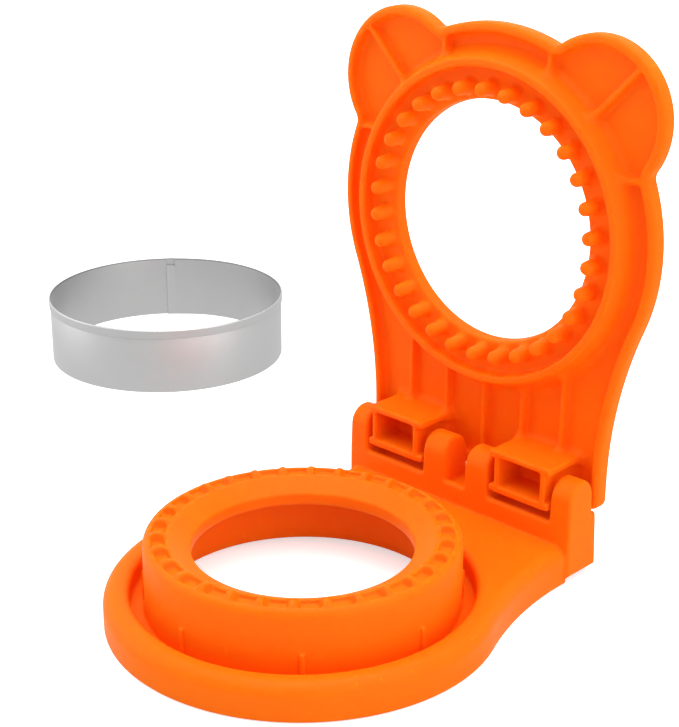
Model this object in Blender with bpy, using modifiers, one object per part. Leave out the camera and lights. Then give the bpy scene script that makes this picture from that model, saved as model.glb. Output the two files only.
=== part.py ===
"""Sandwich cutter and sealer.

A hinged press in two plastic mouldings, with its lid standing open at a right angle, and a loose
steel cutting ring beside it. Lengths are in metres. X runs to the right, Y runs from the front of
the press to its hinge and Z runs up. The origin is on the table, under the front foot of the base.
"""

import math

import bmesh
import bpy
from mathutils import Matrix, Vector

# Shared sizes
WALL = 0.0020
OVERRUN = 0.0030
SINK = 0.0006
RUNNING_GAP = 0.0006
EDGE_SOFTNESS = 0.0006

# Base: crimping ring
RING_RADIUS = 0.0444
RING_WALL = 0.0029
RING_SHOULDER = 0.0016
RING_HEIGHT = 0.0252
LAND_WIDTH = 0.0042
LAND_DEPTH = 0.0011
LAND_LIP = 0.0020
LAND_INNER_LIP = 0.0005
DECK_THICKNESS = 0.0024
MOUTH_RADIUS = 0.0311
MOUTH_DROP = 0.0033
MOUTH_LIP = 0.0036
MOUTH_SOFTNESS = 0.0004
RIDGE_HEIGHT = 0.0006
RIDGE_WIDTH = 0.0017
RIDGE_CREST = 0.0007

# Base: moat, rim and foot
MOAT_WIDTH = 0.0041
MOAT_FLOOR = 0.0044
MOAT_FLOOR_THICKNESS = 0.0022
MOAT_WALL = 0.0018
MOAT_FLARE = 0.0018
RIM_WIDTH = 0.0073
RIM_FRONT_FALL = 0.0012
RIM_HEIGHT = 0.0115
RIM_ROUNDING = 0.0036
CUTTER_RIB_WIDTH = 0.0012
CUTTER_RIB_PROUD = 0.0004
CUTTER_RIB_HEIGHT = 0.0088

# Hinge, measured from the pivot line
HINGE_DISTANCE = 0.0713
HINGE_HEIGHT = 0.0272
HINGE_HALF_WIDTH = 0.0439
WAIST_HALF_WIDTH = 0.0428
HEEL_FOOT_REACH = 0.0071
HEEL_STEP_REACH = 0.0060
HEEL_LIFT = 0.0020
STUD_RADIUS = 0.0020
STUD_ENGAGEMENT = 0.0042
EAR_FRONT_REACH = 0.0070
EAR_TOP_GAP = 0.0007
EAR_BACK_GAP = 0.0006
EAR_DRAFT = 0.0005
EAR_SOFTNESS = 0.0009
INNER_EAR_START = 0.0037
INNER_EAR_THICKNESS = 0.0093
OUTER_EAR_THICKNESS = 0.0079
BAR_LIP = 0.0022
BAR_DECK_THICKNESS = 0.0024
BAR_SWING_GAP = 0.0013

# Lid, measured from the crimping plane when it is shut
TOOTH_TIP_GAP = 0.0008
TOOTH_LENGTH = 0.0074
TOOTH_RADIUS = 0.0018
TOOTH_TIP_RADIUS = 0.0016
TOOTH_ROOT = 0.0006
TOOTH_SETBACK = 0.0036
GUARD_REACH = 0.0043
GUARD_FLARE = 0.0036
GUARD_FOOT = 0.0012
CUTTER_SPACE = 0.0013
GUARD_WALL = 0.0026
PANEL_RECESS = 0.0026
PANEL_THICKNESS = 0.0022
EDGE_RAISE = 0.0029
EDGE_WALL = 0.0022
EDGE_BACK = 0.0002
EDGE_ROUNDING = 0.0010
EDGE_FRONT_ROUNDING = 0.0004
LID_MOUTH_RADIUS = 0.0361
LID_MOUTH_TAPER = 0.0004
LID_MOUTH_ROUNDING = 0.0013
LID_GROOVE_START = 0.0024
LID_GROOVE_WIDTH = 0.0060
LID_GROOVE_DEPTH = 0.0018
LID_TAIL_REACH = 0.0072
LID_CORNER = 0.0028

# Lid outline: a round head with two round ears
HEAD_MARGIN = 0.0059
HEAD_RADIUS = RING_RADIUS + CUTTER_SPACE + GUARD_WALL + GUARD_FLARE + HEAD_MARGIN
LID_HALF_WIDTH = 0.0444
LID_WAIST_POSITION = 0.0700
LID_EAR_RADIUS = 0.0225
LID_EAR_SIDE = 0.0354
LID_EAR_RISE = 0.0363
NOTCH_FILLET = 0.0030

# Lid ribs
RIB_THICKNESS = 0.0012
RIB_HEIGHT = 0.0022
RIB_PITCH = 0.0150
BROW_RIB_SIDE = 0.0190
CHEEK_RIB_RISE = 0.0208

# Lid knuckles
KNUCKLE_START = 0.0154
KNUCKLE_WIDTH = 0.0187
KNUCKLE_FRONT = 0.0071
KNUCKLE_ABOVE = 0.0069
KNUCKLE_BELOW = 0.0063
KNUCKLE_WALL = 0.0014
KNUCKLE_SHELF = 0.0022
KNUCKLE_SHELF_GAP = 0.0004
POCKET_DEPTH = 0.0110
KNUCKLE_FILLET = 0.0014

# Cutter
CUTTER_RADIUS = 0.0460
STRIP_THICKNESS = 0.0005
CUTTER_HEIGHT = 0.0248
HEM_HEIGHT = 0.0033
HEM_FOLD = 0.0004
SEAM_LAP_WIDTH = 0.0060
SEAM_NOTCH_WIDTH = 0.0036
SEAM_NOTCH_DEPTH = 0.0029
CUTTER_LEFT = 0.1900
CUTTER_BACK = 0.1100

# Counts and angles
TOOTH_COUNT = 30
CUTTER_RIB_COUNT = 8
LID_RIB_COUNT = 5
ROUND_STEPS = 72
STUD_STEPS = 20
TOOTH_STEPS = 10
ARC_STEP = math.radians(5.0)
OPEN_ANGLE = math.radians(90.0)
RIGHT_ANGLE = math.radians(90.0)
HALF_TURN = math.radians(180.0)
DIAGONAL = math.radians(46.5)
FULL_TURN = math.radians(360.0)
SMOOTH_LIMIT = math.radians(35.0)
SEAM_ANGLE = math.radians(140.0)
MERGE = 0.00001


def clear_scene():
    for item in list(bpy.data.objects):
        bpy.data.objects.remove(item, do_unlink=True)


def new_collection(name):
    collection = bpy.data.collections.new(name)
    bpy.context.scene.collection.children.link(collection)
    return collection


def plastic(name, colour, roughness):
    material = bpy.data.materials.new(name)
    material.use_nodes = True
    shader = material.node_tree.nodes["Principled BSDF"]
    shader.inputs["Base Color"].default_value = (*colour, 1.0)
    shader.inputs["Roughness"].default_value = roughness
    shader.inputs["Metallic"].default_value = 0.0
    return material


def steel(name):
    material = plastic(name, (0.62, 0.61, 0.60), 0.28)
    shader = material.node_tree.nodes["Principled BSDF"]
    shader.inputs["Metallic"].default_value = 1.0
    return material


def arc(centre, radius, start, end, step=ARC_STEP):
    """Points on an arc from one angle to another, both ends included."""
    count = max(2, math.ceil(abs(end - start) / step))
    angles = [start + (end - start) * i / count for i in range(count + 1)]
    return [(centre[0] + radius * math.cos(a), centre[1] + radius * math.sin(a)) for a in angles]


def bearing(origin, target):
    return math.atan2(target[1] - origin[1], target[0] - origin[0])


def swing(centre, first, second):
    """The two bearings of the shorter turn about a centre, from one point to another."""
    start = bearing(centre, first)
    turn = (bearing(centre, second) - start + HALF_TURN) % FULL_TURN - HALF_TURN
    return start, start + turn


def between_circles(first, first_reach, second, second_reach, side):
    """The point at the given reaches from two centres, on the chosen side of their line."""
    span = math.dist(first, second)
    along = (span ** 2 + first_reach ** 2 - second_reach ** 2) / (2.0 * span)
    across = side * math.sqrt(first_reach ** 2 - along ** 2)
    ux, uy = (second[0] - first[0]) / span, (second[1] - first[1]) / span
    return (first[0] + along * ux - across * uy, first[1] + along * uy + across * ux)


def waist_radius(half_width, position, round_radius):
    """Radius of the hollow side that leaves a circle smoothly and ends square to the hinge."""
    return (position ** 2 + half_width ** 2 - round_radius ** 2) / (2.0 * (round_radius - half_width))


def mirrored(half):
    """A closed outline from its right half, which runs from bottom to top."""
    left = [(-x, y) for x, y in reversed(half) if abs(x) > MERGE]
    return half + left


def tidy(points):
    kept = []
    for point in points:
        if not kept or math.dist(point, kept[-1]) > MERGE:
            kept.append(point)
    return kept


def add_mesh(name, collection, builder):
    mesh = bpy.data.meshes.new(name)
    shape = bmesh.new()
    builder(shape)
    bmesh.ops.recalc_face_normals(shape, faces=shape.faces)
    shape.to_mesh(mesh)
    shape.free()
    item = bpy.data.objects.new(name, mesh)
    collection.objects.link(item)
    return item


def slab(name, outline, low, high, collection):
    """A flat outline as a 2D curve with a thickness, made into a welded mesh."""
    curve = bpy.data.curves.new(name, "CURVE")
    curve.dimensions = "2D"
    curve.fill_mode = "BOTH"
    curve.extrude = (high - low) / 2.0
    spline = curve.splines.new("POLY")
    spline.points.add(len(outline) - 1)
    for point, (x, y) in zip(spline.points, outline):
        point.co = (x, y, 0.0, 1.0)
    spline.use_cyclic_u = True
    drawn = bpy.data.objects.new(name + "_outline", curve)
    drawn.location = (0.0, 0.0, (low + high) / 2.0)
    collection.objects.link(drawn)
    bpy.context.view_layer.update()
    evaluated = drawn.evaluated_get(bpy.context.evaluated_depsgraph_get())
    mesh = bpy.data.meshes.new_from_object(evaluated)
    mesh.transform(drawn.matrix_world)
    bpy.data.objects.remove(drawn, do_unlink=True)
    shape = bmesh.new()
    shape.from_mesh(mesh)
    bmesh.ops.remove_doubles(shape, verts=shape.verts, dist=MERGE)
    bmesh.ops.dissolve_limit(shape, angle_limit=math.radians(0.1), verts=shape.verts, edges=shape.edges,
                             use_dissolve_boundaries=False)
    bmesh.ops.recalc_face_normals(shape, faces=shape.faces)
    shape.to_mesh(mesh)
    shape.free()
    item = bpy.data.objects.new(name, mesh)
    collection.objects.link(item)
    return item


def soften(item, width, segments, chosen):
    """Round the edges that a test on both ends picks out."""
    shape = bmesh.new()
    shape.from_mesh(item.data)
    edges = [e for e in shape.edges if len(e.link_faces) == 2 and chosen(e)]
    bmesh.ops.bevel(shape, geom=edges, offset=width, segments=segments, profile=0.5,
                    affect="EDGES", clamp_overlap=True)
    shape.to_mesh(item.data)
    shape.free()


def block(name, low, high, collection):
    """A box between two corners, from a unit cube."""
    def build(shape):
        bmesh.ops.create_cube(shape, size=1.0)
        size = Vector(high) - Vector(low)
        middle = (Vector(high) + Vector(low)) / 2.0
        bmesh.ops.scale(shape, vec=size, verts=shape.verts)
        bmesh.ops.translate(shape, vec=middle, verts=shape.verts)
    return add_mesh(name, collection, build)


def rod(name, start, end, radius, steps, collection):
    """A round bar between two points."""
    start, end = Vector(start), Vector(end)
    span = end - start

    def build(shape):
        turn = span.to_track_quat("Z", "Y").to_matrix().to_4x4()
        place = Matrix.Translation((start + end) / 2.0) @ turn
        bmesh.ops.create_cone(shape, cap_ends=True, segments=steps, radius1=radius, radius2=radius,
                              depth=span.length, matrix=place)
    return add_mesh(name, collection, build)


def turned(name, profile, steps, collection, closed=True, angle=FULL_TURN):
    """A profile in the XZ plane turned about Z. It runs down its outer side, top to bottom."""
    mesh = bpy.data.meshes.new(name)
    ends = [(i, i + 1) for i in range(len(profile) - 1)]
    if closed:
        ends.append((len(profile) - 1, 0))
    mesh.from_pydata([(r, 0.0, z) for r, z in profile], ends, [])
    item = bpy.data.objects.new(name, mesh)
    collection.objects.link(item)
    screw = item.modifiers.new("turn", "SCREW")
    screw.angle = angle
    screw.steps = steps
    screw.render_steps = steps
    screw.use_merge_vertices = True
    screw.merge_threshold = MERGE
    screw.use_smooth_shade = True
    settle(item)
    shape = bmesh.new()
    shape.from_mesh(item.data)
    bmesh.ops.remove_doubles(shape, verts=shape.verts, dist=MERGE)
    bmesh.ops.recalc_face_normals(shape, faces=shape.faces)
    shape.to_mesh(item.data)
    shape.free()
    return item


def settle(item):
    """Turn an object's modifiers and placement into plain mesh."""
    bpy.context.view_layer.update()
    evaluated = item.evaluated_get(bpy.context.evaluated_depsgraph_get())
    mesh = bpy.data.meshes.new_from_object(evaluated)
    mesh.transform(item.matrix_world)
    item.modifiers.clear()
    item.data = mesh
    item.matrix_world = Matrix.Identity(4)
    return item


def clean(item):
    """Weld stray points and merge flat faces that a cut has split."""
    shape = bmesh.new()
    shape.from_mesh(item.data)
    bmesh.ops.remove_doubles(shape, verts=shape.verts, dist=MERGE)
    bmesh.ops.dissolve_limit(shape, angle_limit=math.radians(0.2), verts=shape.verts, edges=shape.edges,
                             use_dissolve_boundaries=False)
    shape.to_mesh(item.data)
    shape.free()


def gather(name, items, collection):
    """Several separate solids in one object, for one union or cut."""
    shape = bmesh.new()
    for item in items:
        settle(item)
        shape.from_mesh(item.data)
        bpy.data.objects.remove(item, do_unlink=True)
    mesh = bpy.data.meshes.new(name)
    shape.to_mesh(mesh)
    shape.free()
    group = bpy.data.objects.new(name, mesh)
    collection.objects.link(group)
    return group


def combine(target, tool, operation):
    step = target.modifiers.new(tool.name, "BOOLEAN")
    step.operation = operation
    step.solver = "EXACT"
    step.object = tool
    tool.hide_render = True
    tool.display_type = "WIRE"


def finish(item, material):
    """Shade the round faces smooth and give the piece its material."""
    item.data.materials.clear()
    item.data.materials.append(material)
    item.data.shade_smooth()
    item.data.set_sharp_from_angle(angle=SMOOTH_LIMIT)


clear_scene()
parts = new_collection("sandwich_cutter_and_sealer")
tools = new_collection("cutters")

# Places worked out from the driving sizes
MOAT_RADIUS = RING_RADIUS + MOAT_WIDTH
RIM_RADIUS = MOAT_RADIUS + RIM_WIDTH
RING_BORE = RING_RADIUS - RING_WALL
FOOT_RADIUS = RIM_RADIUS - WALL / 2.0
PRESS_CENTRE = Vector((0.0, FOOT_RADIUS, 0.0))
PIVOT = PRESS_CENTRE + Vector((0.0, HINGE_DISTANCE, HINGE_HEIGHT))
LAND_OUTER = RING_RADIUS - LAND_LIP
LAND_INNER = LAND_OUTER - LAND_WIDTH
LAND_FLOOR = RING_HEIGHT - LAND_DEPTH
TOOTH_CIRCLE_RADIUS = LID_MOUTH_RADIUS + TOOTH_SETBACK

BLOCK_FRONT = HINGE_DISTANCE - EAR_FRONT_REACH
INNER_EAR_END = INNER_EAR_START + INNER_EAR_THICKNESS
OUTER_EAR_START = HINGE_HALF_WIDTH - OUTER_EAR_THICKNESS

# Heights of the lid's planes above the table when it is shut
LID_LAND = LAND_FLOOR + TOOTH_TIP_GAP + TOOTH_LENGTH
LID_GUARD = LID_LAND - GUARD_REACH
LID_PANEL = LID_LAND + PANEL_RECESS
LID_BACK = LID_PANEL + PANEL_THICKNESS + EDGE_BACK
LID_EDGE = LID_PANEL - EDGE_RAISE

EAR_BACK_REACH = LID_EDGE - HINGE_HEIGHT - EAR_BACK_GAP
EAR_TOP_REACH = LID_EDGE - HINGE_HEIGHT - EAR_TOP_GAP
KNUCKLE_REACH = math.hypot(KNUCKLE_FRONT, KNUCKLE_BELOW)
BAR_DECK = HINGE_HEIGHT - KNUCKLE_REACH - BAR_SWING_GAP
LIP_INSIDE = EAR_FRONT_REACH - BAR_LIP
BAR_LIP_TOP = HINGE_HEIGHT - math.sqrt(KNUCKLE_REACH ** 2 - LIP_INSIDE ** 2) - RUNNING_GAP
HEEL_STEP = HINGE_HEIGHT - LID_TAIL_REACH - RUNNING_GAP


def base_outline(inset, end):
    """The plate's plan, centred on its ring: a round front and a waist that runs to the hinge."""
    hollow = waist_radius(WAIST_HALF_WIDTH, BLOCK_FRONT, RIM_RADIUS)
    hollow_centre = (WAIST_HALF_WIDTH + hollow, BLOCK_FRONT)
    lean = bearing((0.0, 0.0), hollow_centre)
    half = arc((0.0, 0.0), RIM_RADIUS - inset, -RIGHT_ANGLE, lean)
    half += arc(hollow_centre, hollow + inset, HALF_TURN + lean, HALF_TURN, ARC_STEP / 2.0)[1:]
    half.append((WAIST_HALF_WIDTH - inset, end))
    return mirrored(tidy(half))


def sink_front(item, above):
    """Lower everything above a height a little, the more the further it is from the hinge."""
    for vertex in item.data.vertices:
        if vertex.co.z > above:
            vertex.co.z -= RIM_FRONT_FALL * (BLOCK_FRONT - vertex.co.y) / (BLOCK_FRONT + RIM_RADIUS)


def build_base():
    body = slab("base_press", base_outline(0.0, BLOCK_FRONT + SINK), 0.0, RIM_HEIGHT, parts)

    def top_edge(edge):
        on_top = all(v.co.z > RIM_HEIGHT - MERGE for v in edge.verts)
        at_end = all(v.co.y > BLOCK_FRONT + SINK / 2.0 for v in edge.verts)
        return on_top and not at_end

    soften(body, RIM_ROUNDING, 4, top_edge)
    sink_front(body, RIM_HEIGHT / 2.0)

    under_plan = base_outline(WALL, BLOCK_FRONT + SINK / 2.0)
    under = slab("base_hollow", under_plan, -OVERRUN, RIM_HEIGHT - WALL, tools)
    sink_front(under, RIM_HEIGHT / 2.0)
    keep = rod("moat_wall_keep", (0.0, 0.0, -2.0 * OVERRUN), (0.0, 0.0, RIM_HEIGHT + OVERRUN),
               MOAT_RADIUS + MOAT_WALL, ROUND_STEPS, tools)
    combine(under, keep, "DIFFERENCE")
    combine(body, under, "DIFFERENCE")

    flare = arc((MOAT_RADIUS + MOAT_FLARE, RIM_HEIGHT - MOAT_FLARE), MOAT_FLARE, RIGHT_ANGLE, HALF_TURN,
                math.radians(30.0))
    moat = [(0.0, RIM_HEIGHT + OVERRUN), (MOAT_RADIUS + MOAT_FLARE, RIM_HEIGHT + OVERRUN)]
    moat += flare + [(MOAT_RADIUS, MOAT_FLOOR + EDGE_SOFTNESS), (MOAT_RADIUS - EDGE_SOFTNESS, MOAT_FLOOR)]
    moat += [(0.0, MOAT_FLOOR)]
    moat_cut = turned("moat_cut", moat, ROUND_STEPS, tools, closed=False)
    clean(moat_cut)
    sink_front(moat_cut, RIM_HEIGHT - MOAT_FLARE - MERGE)
    combine(body, moat_cut, "DIFFERENCE")
    below = rod("floor_cut", (0.0, 0.0, -OVERRUN), (0.0, 0.0, MOAT_FLOOR - MOAT_FLOOR_THICKNESS),
                MOAT_RADIUS, ROUND_STEPS, tools)
    combine(body, below, "DIFFERENCE")
    bore = rod("bore_cut", (0.0, 0.0, -OVERRUN), (0.0, 0.0, RIM_HEIGHT + OVERRUN),
               RING_BORE + SINK, ROUND_STEPS, tools)
    bore.rotation_euler = (0.0, 0.0, FULL_TURN / ROUND_STEPS / 2.0)
    combine(body, bore, "DIFFERENCE")
    combine(body, hinge_block(), "UNION")
    combine(body, crimp_ring(), "UNION")
    combine(body, ridges(), "UNION")
    combine(body, cutter_ribs(), "UNION")
    settle(body)
    body.data.transform(Matrix.Translation(PRESS_CENTRE))
    return body


def crimp_ring():
    """The ring's section: outer wall, fluted land, funnel and lip, then back down the inside."""
    foot = MOAT_FLOOR - MOAT_FLOOR_THICKNESS + SINK / 2.0
    mouth_top = RING_HEIGHT - MOUTH_DROP
    mouth_foot = mouth_top - MOUTH_LIP
    deck_foot = RING_HEIGHT - LAND_DEPTH - DECK_THICKNESS
    section = arc((RING_RADIUS - RING_SHOULDER, RING_HEIGHT - RING_SHOULDER), RING_SHOULDER, RIGHT_ANGLE, 0.0,
                  math.radians(30.0))
    section += [(RING_RADIUS, foot),
                (RING_BORE, foot),
                (RING_BORE, deck_foot),
                (MOUTH_RADIUS + MOUTH_LIP, deck_foot - LAND_DEPTH),
                (MOUTH_RADIUS + WALL, mouth_foot),
                (MOUTH_RADIUS, mouth_foot),
                (MOUTH_RADIUS, mouth_top - MOUTH_SOFTNESS),
                (MOUTH_RADIUS + MOUTH_SOFTNESS, mouth_top),
                (LAND_INNER - LAND_INNER_LIP - MOUTH_SOFTNESS, RING_HEIGHT - MOUTH_SOFTNESS / 2.0),
                (LAND_INNER - LAND_INNER_LIP, RING_HEIGHT),
                (LAND_INNER - SINK / 2.0, RING_HEIGHT),
                (LAND_INNER, LAND_FLOOR),
                (LAND_OUTER, LAND_FLOOR),
                (LAND_OUTER + SINK / 2.0, RING_HEIGHT)]
    return turned("crimp_ring", section, ROUND_STEPS, tools)


def ridges():
    """Radial ridges across the land, one between every two teeth of the shut lid."""
    items = []
    crest = RING_HEIGHT + RIDGE_HEIGHT
    for i in range(TOOTH_COUNT):
        ridge = block(f"ridge_{i}", (LAND_INNER - SINK / 2.0, -RIDGE_WIDTH / 2.0, LAND_FLOOR - SINK),
                      (LAND_OUTER + SINK / 4.0, RIDGE_WIDTH / 2.0, crest), tools)
        for vertex in ridge.data.vertices:
            if vertex.co.z > LAND_FLOOR:
                vertex.co.y *= RIDGE_CREST / RIDGE_WIDTH
                inward = math.copysign(RIDGE_CREST, LAND_INNER + LAND_WIDTH / 2.0 - vertex.co.x)
                vertex.co.x += inward
        ridge.rotation_euler = (0.0, 0.0, FULL_TURN * i / TOOTH_COUNT)
        items.append(ridge)
    return gather("ridges", items, tools)


def cutter_ribs():
    """Upright ribs at the foot of the ring, which centre the steel cutter."""
    items = []
    for i in range(CUTTER_RIB_COUNT):
        rib = block(f"cutter_rib_{i}", (RING_RADIUS - SINK, -CUTTER_RIB_WIDTH / 2.0, MOAT_FLOOR - SINK),
                    (RING_RADIUS + CUTTER_RIB_PROUD, CUTTER_RIB_WIDTH / 2.0, MOAT_FLOOR + CUTTER_RIB_HEIGHT),
                    tools)
        rib.rotation_euler = (0.0, 0.0, FULL_TURN * i / CUTTER_RIB_COUNT)
        items.append(rib)
    return gather("cutter_ribs", items, tools)


def across(item):
    """Stand a slab drawn in hinge depth and height upright, so that it runs along X."""
    item.data.transform(Matrix(((0.0, 0.0, 1.0, 0.0), (1.0, 0.0, 0.0, 0.0), (0.0, 1.0, 0.0, 0.0),
                                (0.0, 0.0, 0.0, 1.0))))
    return item


def hinge_profile():
    """Depth and height of the hinge block, seen from the side: straight front, round top, stepped heel."""
    radius = (EAR_FRONT_REACH + EAR_BACK_REACH) / 2.0
    middle = HINGE_DISTANCE + (EAR_BACK_REACH - EAR_FRONT_REACH) / 2.0
    spring = HINGE_HEIGHT + EAR_TOP_REACH - radius
    profile = [(BLOCK_FRONT, HEEL_LIFT), (HINGE_DISTANCE + HEEL_FOOT_REACH, HEEL_LIFT),
               (HINGE_DISTANCE + HEEL_STEP_REACH, HEEL_STEP), (middle + radius, HEEL_STEP)]
    profile += arc((middle, spring), radius, 0.0, HALF_TURN, math.radians(15.0))
    return tidy(profile)


def gap_cut(name, near, far):
    """The space between two ears, down to the bar's front lip and its deck, wider towards the top."""
    back = HINGE_DISTANCE + HEEL_FOOT_REACH + OVERRUN
    top = HINGE_HEIGHT + EAR_TOP_REACH + OVERRUN
    lip_back = BLOCK_FRONT + BAR_LIP
    plan = [(BLOCK_FRONT - OVERRUN, BAR_LIP_TOP), (lip_back, BAR_LIP_TOP), (lip_back, BAR_DECK),
            (back, BAR_DECK), (back, top), (BLOCK_FRONT - OVERRUN, top)]
    item = across(slab(name, plan, near, far, tools))
    middle = (near + far) / 2.0
    for vertex in item.data.vertices:
        lift = (vertex.co.z - BAR_DECK) / (top - BAR_DECK)
        vertex.co.x += math.copysign(EAR_DRAFT * lift, vertex.co.x - middle)
    return item


def hinge_block():
    """The bar across the hinge with its front lip, the four ears that stand on it and their stud holes."""
    bar = across(slab("hinge_block", hinge_profile(), -HINGE_HALF_WIDTH, HINGE_HALF_WIDTH, tools))
    rise = HINGE_HEIGHT + EAR_TOP_REACH - RIM_HEIGHT
    for vertex in bar.data.vertices:
        lift = max(0.0, vertex.co.z - RIM_HEIGHT) / rise
        vertex.co.x -= math.copysign(EAR_DRAFT * lift, vertex.co.x)
    combine(bar, gap_cut("middle_gap", -INNER_EAR_START, INNER_EAR_START), "DIFFERENCE")
    combine(bar, gap_cut("right_gap", INNER_EAR_END, OUTER_EAR_START), "DIFFERENCE")
    combine(bar, gap_cut("left_gap", -OUTER_EAR_START, -INNER_EAR_END), "DIFFERENCE")
    settle(bar)
    clean(bar)

    def ear_edge(edge):
        if all(v.co.z < HEEL_LIFT + MERGE for v in edge.verts):
            return False
        side = max(abs(f.normal.x) for f in edge.link_faces)
        face = min(abs(f.normal.x) for f in edge.link_faces)
        low = min(v.co.z for v in edge.verts) < BAR_LIP_TOP - MERGE
        outside = all(abs(v.co.x) > OUTER_EAR_START + OUTER_EAR_THICKNESS / 2.0 for v in edge.verts)
        return side > 0.9 and face < 0.1 and (outside or not low)

    soften(bar, EAR_SOFTNESS, 2, ear_edge)
    hollow = block("bar_hollow", (-HINGE_HALF_WIDTH + WALL, BLOCK_FRONT + WALL, -OVERRUN),
                   (HINGE_HALF_WIDTH - WALL, HINGE_DISTANCE + HEEL_STEP_REACH - WALL,
                    BAR_DECK - BAR_DECK_THICKNESS), tools)
    combine(bar, hollow, "DIFFERENCE")
    combine(bar, stud_holes(), "DIFFERENCE")
    return bar


def stud_holes():
    """Blind holes that face each other across the two gaps between the ears."""
    radius = STUD_RADIUS + RUNNING_GAP / 2.0
    low = INNER_EAR_END - STUD_ENGAGEMENT - RUNNING_GAP
    high = OUTER_EAR_START + STUD_ENGAGEMENT + RUNNING_GAP
    items = []
    for sign in (1.0, -1.0):
        start = (sign * low, HINGE_DISTANCE, HINGE_HEIGHT)
        end = (sign * high, HINGE_DISTANCE, HINGE_HEIGHT)
        items.append(rod(f"stud_hole_{sign:.0f}", start, end, radius, STUD_STEPS, tools))
    return gather("stud_holes", items, tools)


def lid_outline(inset):
    """The lid's plan about its ring centre, head upwards, with its tail at the hinge."""
    centre = (0.0, 0.0)
    ear_centre = (LID_EAR_SIDE, LID_EAR_RISE)
    hollow = waist_radius(LID_HALF_WIDTH, LID_WAIST_POSITION, HEAD_RADIUS)
    hollow_centre = (LID_HALF_WIDTH + hollow, -LID_WAIST_POSITION)
    lean = bearing(centre, hollow_centre)
    cheek = between_circles(centre, HEAD_RADIUS + NOTCH_FILLET, ear_centre, LID_EAR_RADIUS + NOTCH_FILLET, -1.0)
    brow = between_circles(centre, HEAD_RADIUS + NOTCH_FILLET, ear_centre, LID_EAR_RADIUS + NOTCH_FILLET, 1.0)
    corner = max(LID_CORNER - inset, EDGE_SOFTNESS)
    side = LID_HALF_WIDTH - inset
    tail = -(HINGE_DISTANCE + LID_TAIL_REACH) + inset
    head = HEAD_RADIUS - inset
    ear_radius = LID_EAR_RADIUS - inset
    fillet = NOTCH_FILLET + inset
    half = [(0.0, tail)]
    half += arc((side - corner, tail + corner), corner, -RIGHT_ANGLE, 0.0, math.radians(25.0))
    half += arc(hollow_centre, hollow + inset, HALF_TURN, HALF_TURN + lean, ARC_STEP / 2.0)
    half += arc(centre, head, lean, bearing(centre, cheek))
    half += arc(cheek, fillet, *swing(cheek, centre, ear_centre), math.radians(20.0))
    half += arc(ear_centre, ear_radius, bearing(ear_centre, cheek), bearing(ear_centre, brow),
                math.radians(7.5))
    half += arc(brow, fillet, *swing(brow, ear_centre, centre), math.radians(20.0))
    half += arc(centre, head, bearing(centre, brow), RIGHT_ANGLE)
    return mirrored(tidy(half))


def build_lid():
    """The lid, built as it lies on the shut press and then swung open about its pivot."""
    plan = [(x, -v) for x, v in lid_outline(0.0)]
    body = slab("lid_press", plan, LID_EDGE, LID_BACK, parts)
    soften(body, EDGE_ROUNDING, 3, lambda e: all(v.co.z > LID_BACK - MERGE for v in e.verts))
    soften(body, EDGE_FRONT_ROUNDING, 2, lambda e: all(v.co.z < LID_EDGE + MERGE for v in e.verts))
    inner = [(x, -v) for x, v in lid_outline(EDGE_WALL)]
    combine(body, slab("lid_recess", inner, LID_EDGE - OVERRUN, LID_PANEL, tools), "DIFFERENCE")
    combine(body, lid_ribs(), "UNION")
    combine(body, guard_ring(), "UNION")
    combine(body, mouth_cut(), "DIFFERENCE")
    combine(body, back_groove(), "DIFFERENCE")
    combine(body, teeth(), "UNION")
    for sign in (1.0, -1.0):
        knuckle(body, sign)
    settle(body)
    pivot = Vector((0.0, HINGE_DISTANCE, HINGE_HEIGHT))
    body.data.transform(Matrix.Rotation(-OPEN_ANGLE, 4, "X") @ Matrix.Translation(-pivot))
    body.location = PIVOT
    return body


def guard_ring():
    """The round wall that guards the teeth and the flat land they stand on."""
    outer = RING_RADIUS + CUTTER_SPACE + GUARD_WALL
    inner = outer - GUARD_WALL
    anchor = LID_PANEL + SINK
    section = [(outer + GUARD_FLARE, anchor), (outer + GUARD_FLARE, LID_PANEL - GUARD_FOOT),
               (outer, LID_GUARD + EDGE_SOFTNESS), (outer - EDGE_SOFTNESS, LID_GUARD),
               (inner + EDGE_SOFTNESS, LID_GUARD), (inner, LID_GUARD + EDGE_SOFTNESS), (inner, LID_LAND),
               (LID_MOUTH_RADIUS - OVERRUN, LID_LAND), (LID_MOUTH_RADIUS - OVERRUN, anchor)]
    return turned("guard_ring", section, ROUND_STEPS, tools)


def mouth_cut():
    """The round mouth through the lid, a little tapered, with a soft edge at the back."""
    back = LID_MOUTH_RADIUS - LID_MOUTH_TAPER
    lip = LID_BACK - LID_MOUTH_ROUNDING
    section = [(0.0, LID_BACK + OVERRUN), (back + LID_MOUTH_ROUNDING, LID_BACK + OVERRUN)]
    section += arc((back + LID_MOUTH_ROUNDING, lip), LID_MOUTH_ROUNDING, RIGHT_ANGLE, HALF_TURN,
                   math.radians(30.0))
    section += [(LID_MOUTH_RADIUS, LID_LAND), (LID_MOUTH_RADIUS, LID_GUARD), (0.0, LID_GUARD)]
    return turned("mouth_cut", section, ROUND_STEPS, tools, closed=False)


def back_groove():
    """A round groove in the back of the lid, which keeps the land no thicker than it need be."""
    near = LID_MOUTH_RADIUS + LID_GROOVE_START
    far = near + LID_GROOVE_WIDTH
    deep = LID_BACK - LID_GROOVE_DEPTH
    section = [(far, LID_BACK + OVERRUN), (far, deep + EDGE_SOFTNESS), (far - EDGE_SOFTNESS, deep),
               (near + EDGE_SOFTNESS, deep), (near, deep + EDGE_SOFTNESS), (near, LID_BACK + OVERRUN)]
    return turned("back_groove", section, ROUND_STEPS, tools)


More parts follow.
